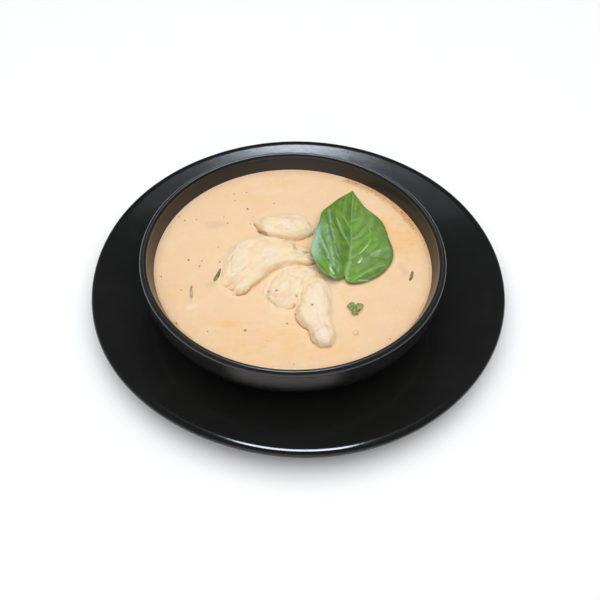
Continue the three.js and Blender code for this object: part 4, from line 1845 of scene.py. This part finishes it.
@dataclass
class BasilLeaf:
    """The broad basil leaf, in millimetres from the food's origin.

    Attributes:
        base: Where its stalk ends.
        tip: Its point.
        bow: How far its midrib bends.
        half_width: Of its left and its right half.
        widest_at: Where along it is widest.
        fullness: How full its left and its right outline are.
        base_lobe: How far the left and the right lobe reach below the base.
        lobe_reach: How far along the lobes are felt.
        lobe_crowding: How close to the base they are deepest.
        thickness: Of its blade.
        thin_margin: How thin it is at its margin, as a share of that.
        lowest: How high it floats over the soup.
        cup: How much higher its sides are.
        lift: How high its left part is raised, and the places across between which it rises.
        swell_length: How long the swellings of its outline are, as a share of its length.
        left_swells: Where the left outline swells or draws in, and by which share.
        right_swells: The same of the right outline.
        vein_climb: How far the side veins climb on their way out, left and right.
        vein_count: How many there are along each half.
        vein_start: Where the first one of each half starts, as a share of their spacing.
        reliefs: Height of the swellings between the veins, of the midrib, the veins, the ridges
            and the valleys.
        waviness: Height, count and start of the waves of its margin.
        crowding: How much closer its rows lie near the base: a power of their place.
        steps: Rows along it.
        across: Points across it.
        finish: Its material.
    """

    base: Pair = (27.3, -12.8)
    tip: Pair = (33.8, 54.3)
    bow: float = 0.7
    half_width: Pair = (17.5, 24.8)
    widest_at: float = 0.326
    fullness: Pair = (1.19, 1.98)
    base_lobe: Pair = (4.6, 5.8)
    lobe_reach: float = 0.6
    lobe_crowding: float = 0.24
    thickness: float = 0.55
    thin_margin: float = 0.25
    lowest: float = 0.6
    cup: float = 0.8
    lift: Point = (4.6, 34.0, 9.0)
    swell_length: float = 0.09
    left_swells: Profile = (
        (0.86, 0.057), (0.66, 0.147), (0.45, 0.034), (0.24, 0.1), (0.1, 0.024),
    )
    right_swells: Profile = (
        (0.8, -0.174), (0.64, 0.047), (0.44, -0.046), (0.24, 0.029), (0.1, 0.037),
    )
    vein_climb: Pair = (0.62, 0.42)
    vein_count: Pair = (5.2, 6.2)
    vein_start: Pair = (0.15, 0.42)
    reliefs: Row = (0.4, -0.4, -0.25, 0.75, -0.6)
    waviness: Point = (0.25, 2.5, 0.3)
    crowding: float = 1.7
    steps: int = 190
    across: int = 170
    finish: BasilGreen = BasilGreen()

    def blade(self) -> Tuple[np.ndarray, Dict[str, np.ndarray]]:
        """Draws the blade's middle surface.

        Returns:
            The points in rows from base to tip, and the numbers that are stored there.
        """
        along = (np.arange(self.steps + 1) / self.steps)[:, None] ** self.crowding
        across = np.linspace(-1, 1, self.across + 1)[None, :]
        left, reach, arch = across < 0, np.abs(across), np.sin(np.pi * along)
        x, y = self.outline(along, across)
        shape = x.shape
        places = np.stack([x, y], axis=2).reshape(-1, 2)

        def felt(marks: Iterable[Stroke]) -> np.ndarray:
            """What the blade's points feel of some strokes."""
            return marked(places, marks).reshape(shape)

        swell, lateral = self.between_veins(along, reach, left)
        uneven = rough(places, 3.0, 61.0, 2).reshape(shape)
        rib, veins = felt(LEAF_RIB), felt(LEAF_VEINS)
        ridges = felt(LEAF_RIDGES) * np.clip(0.95 + 0.9 * uneven, 0.3, 1.3)
        valleys = felt(LEAF_VALLEYS) * np.clip(1 - 0.8 * uneven, 0.4, 1.2)
        height, start, end = self.lift
        z = self.lowest + self.thickness / 2 + height * smoothstep(-x, -start, -end)
        z = z + self.cup * reach**2 * arch
        for relief, form in zip(self.reliefs, (swell * arch**0.5, rib, veins, ridges, valleys)):
            z = z + relief * form
        height, count, start = self.waviness
        z = z + height * np.sin(2 * np.pi * (count * along + start)) * reach**3
        margin = np.where(left, smoothstep(reach, 0.6, 0.95), 0)
        margin = margin * smoothstep(along, 0.1, 0.25) * smoothstep(along, 0.62, 0.4)
        stored = {
            "vein": np.maximum(0.18 * lateral, np.maximum(rib, 0.75 * veins)),
            # Painted light on the swellings.
            "bulge": swell,
            "bright": felt(LEAF_BRIGHT),
            "gleam": felt(LEAF_GLEAMS),
            # Painted shade in the valleys.
            "dark": 0.75 * valleys,
            # Painted sheen on the ridges; the left margin is paler.
            "pale": np.maximum(0.85 * margin, 0.72 * ridges),
            "edge": smoothstep(reach, 0.968, 0.99) * np.where(left, 0.2, 0.8),
        }
        points = np.stack([x, y, z], axis=2)
        return points, {key: np.broadcast_to(value, shape) for key, value in stored.items()}

    def outline(self, along: np.ndarray, across: np.ndarray) -> Tuple[np.ndarray, np.ndarray]:
        """Spreads the blade out, seen from above.

        Args:
            along: Share of the way from base to tip.
            across: From -1 at the left margin to 1 at the right one.

        Returns:
            The blade's x and y.
        """
        left, reach, peak = across < 0, np.abs(across), self.widest_at
        full = np.where(left, *self.fullness)
        breadth = (along / peak) ** (full * peak)
        breadth = breadth * ((1 - along) / (1 - peak)) ** (full * (1 - peak))
        for side, swells in ((left, self.left_swells), (~left, self.right_swells)):
            bumps = sum(
                size * np.exp(-(((along - at) / self.swell_length) ** 2)) for at, size in swells
            )
            breadth = breadth * np.where(side, 1 + bumps, 1)
        from_base = np.minimum(1, along / self.lobe_reach) ** self.lobe_crowding
        lobe_y = np.where(left, *self.base_lobe) * np.sin(np.pi * from_base) * reach
        (base_x, base_y), (tip_x, tip_y) = self.base, self.tip
        x = base_x + (tip_x - base_x) * along - self.bow * np.sin(np.pi * along)
        x = x + across * np.where(left, *self.half_width) * breadth
        return x, base_y + (tip_y - base_y) * along - lobe_y

    def between_veins(
        self, along: np.ndarray, reach: np.ndarray, left: np.ndarray
    ) -> Tuple[np.ndarray, np.ndarray]:
        """The soft swellings between the side veins, and the side veins.

        Args:
            along: Share of the way from base to tip.
            reach: Share of the way from the midrib to the margin.
            left: Where the left half is.

        Returns:
            How strongly each point swells, and how strongly it lies on a vein, from 0 to 1.
        """
        phase = along - np.where(left, *self.vein_climb) * reach**1.15
        phase = phase * np.where(left, *self.vein_count) + np.where(left, *self.vein_start)
        wave = np.abs(np.sin(np.pi * phase))
        swell = wave**0.8 * smoothstep(reach, 0.02, 0.25) * smoothstep(reach, 1.0, 0.7)
        lateral = np.exp(-((wave / (0.08 + 0.12 * reach)) ** 2)) * smoothstep(reach, 0.95, 0.4)
        return swell, lateral

    def build(self) -> Piece:
        """Builds and dresses the leaf.

        Returns:
            The leaf.
        """
        middle, stored = self.blade()
        rows, columns = middle.shape[:2]
        from_margin = smoothstep(np.abs(np.linspace(-1, 1, columns)), 1.0, 0.93)[None, :, None]
        thin = self.thin_margin + (1 - self.thin_margin) * from_margin
        half = thin * (0, 0, self.thickness / 2)
        points = np.vstack([(middle + half).reshape(-1, 3), (middle - half).reshape(-1, 3)])
        row, column = np.meshgrid(np.arange(rows - 1), np.arange(columns - 1), indexing="ij")
        corner = (row * columns + column).ravel()
        above = np.stack([corner, corner + 1, corner + columns + 1, corner + columns], axis=1)
        under = rows * columns
        faces = above.tolist() + flipped(above + under)
        for first in range(0, (rows - 1) * columns, columns):
            faces.append([first, first + columns, under + first + columns, under + first])
            last, next_last = first + columns - 1, first + 2 * columns - 1
            faces.append([next_last, last, under + last, under + next_last])
        numbers = {key: np.r_[value.ravel(), value.ravel()] for key, value in stored.items()}
        made = mesh_object("basil_leaf_blade", in_soup(points), faces, numbers)
        welded(made, 1e-6)
        return dressed(made, self.finish.material(), ["basil_leaf"])


@dataclass
class HerbSprig:
    """The small lobed sprig that floats by the basil leaf, in millimetres.

    Attributes:
        place: Its middle, from the food's origin.
        turn: The bearing of its first lobe, in degrees.
        radius: Its mean reach.
        lobes: Count and depth of the waves in its outline.
        curls: Count and height of the waves that it curls up in.
        thickness: Of its blade.
        lowest: How high it floats over the soup.
        rings: Rings of points from its middle to its edge.
        sectors: Points round its edge.
        finish: Its material.
    """

    place: Pair = (32.2, -33.3)
    turn: float = 25.0
    radius: float = 3.3
    lobes: Tuple[Pair, Pair] = ((3, 0.26), (8, 0.1))
    curls: Tuple[Pair, Pair] = ((5, 0.35), (4, 0.25))
    thickness: float = 0.5
    lowest: float = 0.5
    rings: int = 16
    sectors: int = 120
    finish: Greens = Greens("herb_green", srgb(104, 116, 50), srgb(166, 172, 108), 1.1)

    def build(self) -> Piece:
        """Builds and dresses the sprig.

        Returns:
            The sprig.
        """
        angle = np.linspace(0, 2 * np.pi, self.sectors, endpoint=False)
        reach = 1 + sum(depth * np.cos(count * angle) for count, depth in self.lobes)
        share = (np.arange(1, self.rings + 1) / self.rings)[:, None]
        out = self.radius * reach * share
        bearing = angle + math.radians(self.turn)
        (curls, curl_height), (under_meat_shade, fold_height) = self.curls
        curl = curl_height * (1 + np.sin(curls * angle))
        curl = curl + fold_height * np.abs(np.sin(under_meat_shade * angle))
        middle_z = self.lowest + self.thickness / 2
        x = self.place[0] + out * np.cos(bearing)
        y = self.place[1] + out * np.sin(bearing)
        blade = np.stack([x, y, middle_z + curl * share], axis=2).reshape(-1, 3)
        half = np.array([0, 0, self.thickness / 2])
        centre = np.array([[*self.place, middle_z]])
        points = np.vstack([blade + half, blade - half, centre + half, centre - half])
        count = len(blade)
        side = ring_faces(self.rings, self.sectors)
        faces = flipped(side) + (side + count).tolist()
        rim = (self.rings - 1) * self.sectors
        for sector in range(self.sectors):
            beside = (sector + 1) % self.sectors
            faces.append([2 * count, sector, beside])
            faces.append([2 * count + 1, count + beside, count + sector])
            faces.append([rim + beside, rim + sector, count + rim + sector, count + rim + beside])
        made = mesh_object("herb_sprig_leaf", in_soup(points), faces)
        welded(made, 1e-7)
        return dressed(made, self.finish.material(), ["herb_sprig"])


# ---- small bits ----


class Bit(Enum):
    """The kinds of small flake on the soup, with their two colours."""

    PEPPER = ("pepper_flakes", srgb(138, 98, 62), srgb(184, 140, 98))
    CHILLI = ("chilli_flakes", srgb(196, 112, 76), srgb(226, 160, 118))
    BLACK = ("black_flakes", srgb(84, 64, 44), srgb(130, 102, 74))


@dataclass
class Flakes:
    """Small flakes of spice of one kind that lie on the soup or on the meat.

    Attributes:
        kind: Which kind.
        places: x, y and half length of each, in millimetres.
        seed: Picks their shapes.
        patch: How wide the patches of their two colours are, in millimetres.
    """

    kind: Bit
    places: Tuple[Point, ...]
    seed: int
    patch: float = 0.5

    def build(self, ground: Callable[[float, float], float]) -> Piece:
        """Builds and dresses the flakes.

        Args:
            ground: Gives the height of what a flake lies on, above the soup's level.

        Returns:
            All the flakes as one piece.
        """
        draw = np.random.default_rng(self.seed)
        points, faces, count = [], [], 0
        for x, y, size in self.places:
            flake, shape = self.flake(draw, size)
            points.append(flake + (x, y, ground(x, y)))
            faces += [[corner + count for corner in face] for face in shape]
            count += len(flake)
        name, dark, light = self.kind.value
        made = mesh_object(name, in_soup(np.vstack(points)), faces)
        return dressed(made, Greens(name + "_skin", dark, light, self.patch).material())

    def flake(self, draw: np.random.Generator, size: float) -> Tuple[np.ndarray, List[List[int]]]:
        """Shapes one flake about its own middle.

        Args:
            draw: Where its shape is drawn from.
            size: Its half length, in millimetres.

        Returns:
            Its points and its faces.
        """
        rings, sides, pole, thin = 7, 12, 0.12, 0.28
        turn = draw.uniform(0, np.pi)
        slim = draw.uniform(0.5, 0.85)
        lean = draw.uniform(-0.25, 0.25)
        polar = np.linspace(pole, np.pi - pole, rings)[:, None]
        angle = np.linspace(0, 2 * np.pi, sides, endpoint=False)[None, :]
        wobble = 1 + 0.22 * np.cos(3 * angle + draw.uniform(0, 6)) + 0.12 * np.cos(5 * angle)
        along = size * np.sin(polar) * np.cos(angle) * wobble
        across = size * slim * np.sin(polar) * np.sin(angle) * wobble
        x = along * math.cos(turn) - across * math.sin(turn)
        y = along * math.sin(turn) + across * math.cos(turn)
        z = thin * size * np.cos(polar) + lean * along
        points = np.stack([x, y, z], axis=2).reshape(-1, 3)
        poles = [points[:sides].mean(0), points[-sides:].mean(0)]
        faces = flipped(closed_faces(rings, sides, (len(points), len(points) + 1)))
        return np.vstack([points, poles]), faces


@dataclass
class StemSliver:
    """A sliver of stem that lies half sunk in the soup, in millimetres.

    Attributes:
        name: The piece's name.
        rows: x, y, z above the soup, half width and half height along it.
        finish: Its material.
    """

    name: str
    rows: Tuple[Row, Row, Row]
    finish: Greens

    def build(self) -> Piece:
        """Builds and dresses the sliver.

        Returns:
            The sliver.
        """
        points, faces = lobe(self.rows)
        points = points + 0.08 * rough(points, 1.4, 4.0)[:, None]
        made = mesh_object(self.name, in_soup(points), faces)
        welded(made, 1e-7)
        return dressed(made, self.finish.material(), ["soup"])


@dataclass
class Bubble:
    """A low bubble in the soup, in millimetres.

    Attributes:
        name: The piece's name.
        place: Its middle, from the food's origin.
        radius: Its radius.
        rise: How high its film stands.
        sunk: How deep it reaches into the soup.
        collar: Width and height of the soup's collar round it.
        sectors: Points round it.
    """

    name: str
    place: Pair
    radius: float
    rise: float
    sunk: float = 0.5
    collar: Pair = (0.22, 0.08)
    sectors: int = 40

    def build(self, finish: CoconutBroth) -> Piece:
        """Builds and dresses the bubble.

        Args:
            finish: The soup's finish.

        Returns:
            The bubble.
        """
        width, height = self.collar
        dome = ((share * self.radius, self.rise) for share in (0.8, 0.4, 0))
        profile = [
            (0, -self.sunk),
            (self.radius + 0.25, -self.sunk),
            *round_edge((self.radius, height), width, -20, 150, 10),
            *bend((self.radius - 0.25, 0.12), *dome, 14),
        ]
        made = turned(self.name, np.array(profile), self.sectors, self.placed)
        return dressed(made, finish.material())

    def placed(self, points: np.ndarray) -> np.ndarray:
        """Puts the bubble on the soup."""
        return points + (*self.place, 0) + (*FOOD_ORIGIN, SOUP_LEVEL)


# ---- the studio ----


@dataclass(frozen=True)
class SoftLight:
    """A soft rectangular light that hangs over the table and faces down.

    Attributes:
        name: Its name.
        place: Its middle, in metres.
        size: Its sides, in metres.
        radiance: How bright it looks, where 1 is white.
        colour: Its colour.
        mirrored: Whether it is only mirrored by what shines. It only lights what is dull if not.
    """

    name: str
    place: Point
    size: Pair
    radiance: float
    colour: Point
    mirrored: bool

    def hang(self) -> None:
        """Hangs the light."""
        data = bpy.data.lights.new(self.name, "AREA")
        data.shape = "RECTANGLE"
        data.size, data.size_y = self.size
        data.energy = self.radiance * self.size[0] * self.size[1] * math.pi
        data.color = self.colour
        made = bpy.data.objects.new(self.name, data)
        made.location = self.place
        made.visible_diffuse = not self.mirrored
        made.visible_glossy = self.mirrored
        bpy.context.scene.collection.objects.link(made)


@dataclass
class Studio:
    """The pale table, the lights and the camera.

    Attributes:
        lens: The camera's focal length in millimetres.
        sensor: The width of its sensor, in millimetres.
        eye: Where the camera stands, in metres.
        elevation: How far it looks down, in degrees.
        yaw: How far it looks to the right of +Y, in degrees.
        roll: How far it leans, in degrees.
        table: Half the table's side, in metres.
        lights: A wide one that lights everything, and two whose reflections the far side of the
            plate shows.
        room: The colour of the dim room.
        glow: Brightness of the room, and how much is added by the wall behind the viewer, on the
            left and on the right.
    """

    lens: float = 38.939
    sensor: float = 36.0
    eye: Point = (0.0, -0.245802, 0.286771)
    elevation: float = 50.896
    yaw: float = 0.1714
    roll: float = 1.7795
    table: float = 1.6
    lights: Tuple[SoftLight, ...] = (
        SoftLight("overhead_soft", (0, 0.05, 1.7), (3.4, 3.4), 1.72, (1, 1, 1), False),
        SoftLight("window_soft", (0, 0.734, 1.46), (0.3, 0.32), 23.0, (0.88, 0.98, 1.12), True),
        SoftLight("ceiling_soft", (0, 0.995, 1.46), (0.6, 0.15), 0.4, (0.88, 0.98, 1.12), True),
    )
    room: Colour = (0.92, 0.98, 1.08, 1)
    glow: Row = (0.05, 0.8, 0.12, 0.06)

    def build(self) -> None:
        """Builds the studio."""
        self.camera()
        self.floor()
        for light in self.lights:
            light.hang()
        self.surroundings()
        settings = bpy.context.scene.view_settings
        settings.view_transform = "Standard"
        settings.look = "None"

    def camera(self) -> None:
        """Stands the camera where the picture is taken from."""
        down, yaw, roll = (math.radians(a) for a in (self.elevation, self.yaw, self.roll))
        level = Vector((math.sin(yaw), math.cos(yaw), 0))
        ahead = level * math.cos(down) - Vector((0, 0, math.sin(down)))
        right = Vector((math.cos(yaw), -math.sin(yaw), 0))
        up = right.cross(ahead)
        leant_right = right * math.cos(roll) + up * math.sin(roll)
        leant_up = up * math.cos(roll) - right * math.sin(roll)
        data = bpy.data.cameras.new("picture_camera")
        data.lens = self.lens
        data.sensor_width = self.sensor
        data.clip_start = 0.01
        made = bpy.data.objects.new("picture_camera", data)
        turn = Matrix((leant_right, leant_up, -ahead)).transposed().to_4x4()
        made.matrix_world = Matrix.Translation(self.eye) @ turn
        bpy.context.scene.collection.objects.link(made)
        bpy.context.scene.camera = made

    def floor(self) -> None:
        """Lays the pale table."""
        signs = ((-1, -1, 0), (1, -1, 0), (1, 1, 0), (-1, 1, 0))
        made = mesh_object("pale_table", self.table * np.array(signs), [(0, 1, 2, 3)])
        made.data.materials.append(PaleTable().material())

    def surroundings(self) -> None:
        """Makes the dim room: a bright wall behind the viewer, a little light from the sides."""
        world = bpy.data.worlds.new("dim_room")
        bpy.context.scene.world = world
        shade = Shade(world)
        place = shade.node("ShaderNodeTexCoord", output="Generated")
        x, y = (shade.node("ShaderNodeSeparateXYZ", inputs={0: place}, output=i) for i in range(2))
        dim, wall, left, right = self.glow
        glow = (0 - y).rise(0.72, 0.95) * wall + (0 - x).rise(0.2, 0.75) * left
        glow = glow + (x + y * 0.5).rise(0.2, 0.9) * right + dim
        inputs = {"Color": self.room, "Strength": glow}
        shade.end("ShaderNodeOutputWorld", shade.node("ShaderNodeBackground", inputs=inputs))


# ---- the whole dish ----


OLIVE_STEM = Greens("olive_stem", srgb(92, 78, 42), srgb(150, 132, 86), 1.2)
GREY_STEM = Greens("grey_stem", srgb(150, 142, 112), srgb(196, 182, 150), 1.2)
SLIVERS = (
    StemSliver(
        "stem_sliver_olive",
        ((-36.9, -7.6, -0.3, 0.9, 0.8), (-38.1, -12.6, 0, 1.1, 0.9), (-40, -18, -0.3, 1.5, 0.8)),
        OLIVE_STEM,
    ),
    StemSliver(
        "stem_sliver_left",
        (
            (-51.2, -20.4, -0.4, 0.6, 0.7), (-50.9, -25.5, -0.2, 0.8, 0.7),
            (-49.9, -30.6, -0.4, 0.6, 0.7),
        ),
        GREY_STEM,
    ),
    StemSliver(
        "stem_sliver_right",
        ((63.4, -6.2, -0.4, 0.7, 0.7), (62.6, -10, -0.2, 0.9, 0.8), (60.9, -14, -0.4, 0.7, 0.7)),
        OLIVE_STEM,
    ),
)
FLAKES = (
    Flakes(
        Bit.PEPPER,
        (
            (-26.7, 37.1, 0.8), (-35.4, 49.4, 0.55), (-28.3, 51.0, 0.5), (-34.4, 43.9, 0.45),
            (-11.9, 42.3, 0.5), (-39.4, 30.0, 0.5), (-37.0, 25.3, 0.55), (-24.2, 25.0, 0.5),
            (-23.1, 30.7, 0.45), (-40.4, 6.7, 0.5), (-55.0, -3.3, 0.75), (-48.0, -3.8, 0.5),
            (-48.7, -7.4, 0.6), (-67.6, -15.4, 0.5), (-56.1, -24.1, 0.5), (-39.8, -49.7, 0.5),
            (-1.5, -43.7, 0.6), (2.5, -67.2, 0.5), (-21.7, -48.4, 0.85), (-11.4, -25.7, 0.6),
            (-7.4, -25.9, 0.6), (2.7, -28.5, 0.4),
        ),
        seed=5,
    ),
    Flakes(
        Bit.BLACK,
        (
            (-38.4, -4.1, 0.6), (10.7, -34.6, 0.5), (36.0, 61.5, 0.6), (-55.6, -45.3, 0.5),
            (61.2, 37.5, 0.6),
        ),
        seed=6,
    ),
    Flakes(
        Bit.CHILLI,
        (
            (-61.0, 26.3, 0.7), (-64.5, 29.0, 0.6), (-54.7, 27.4, 0.5), (66.5, 25.0, 0.7),
            (48.5, -51.0, 0.6),
        ),
        seed=7,
    ),
)
BUBBLES = (
    Bubble("soup_bubble_large", (32.1, -47.9), 1.5, 0.55),
    Bubble("soup_bubble_small", (-10.1, -53.4), 1.0, 0.35),
)


def height_finder(pieces: Sequence[Piece]) -> Callable[[float, float], float]:
    """Gives a function that reads how high the food's surface is.

    Args:
        pieces: What the flakes may lie on.

    Returns:
        A function from x and y off the food's origin to the height above the soup's level.
    """
    high_up = 20.0
    trees = [tree_of(piece) for piece in pieces]

    def find(x: float, y: float) -> float:
        """Reads the highest surface at a place.

        Args:
            x: Across, in millimetres from the food's origin.
            y: Away from the viewer, in millimetres from there.

        Returns:
            The height, in millimetres above the soup's level.
        """
        start = Vector(in_soup(np.array([x, y, high_up])))
        hits = [tree.ray_cast(start, Vector((0, 0, -1)))[0] for tree in trees]
        tops = [hit.z / MM - SOUP_LEVEL for hit in hits if hit is not None]
        return max(tops, default=0.0)

    return find


def report(piece: Piece) -> Piece:
    """Logs a finished piece and hands it on."""
    log.info("%s: %d faces", piece.name, len(piece.data.polygons))
    return piece


def main() -> None:
    """Builds the dish and its studio."""
    logging.basicConfig(level=logging.INFO, format="%(message)s")
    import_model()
    Studio().build()
    report(Plate().build())
    bowl = Bowl()
    report(bowl.build())
    meat = [CHICKEN_TOP, CHICKEN_LEFT, CHICKEN_CENTRE, CHICKEN_TAIL]
    for count, piece in enumerate(meat):
        piece.build(meat[:count])
    for piece in meat:
        report(piece.dress([other for other in meat if other is not piece]))
    broth = Broth(bowl)
    soup = report(broth.build(meat))
    report(BasilLeaf().build())
    report(HerbSprig().build())
    for sliver in SLIVERS:
        report(sliver.build())
    ground = height_finder([soup, *(piece.made for piece in meat)])
    for flakes in FLAKES:
        report(flakes.build(ground))
    for bubble in BUBBLES:
        report(bubble.build(broth.finish))


if __name__ == "__main__":
    main()
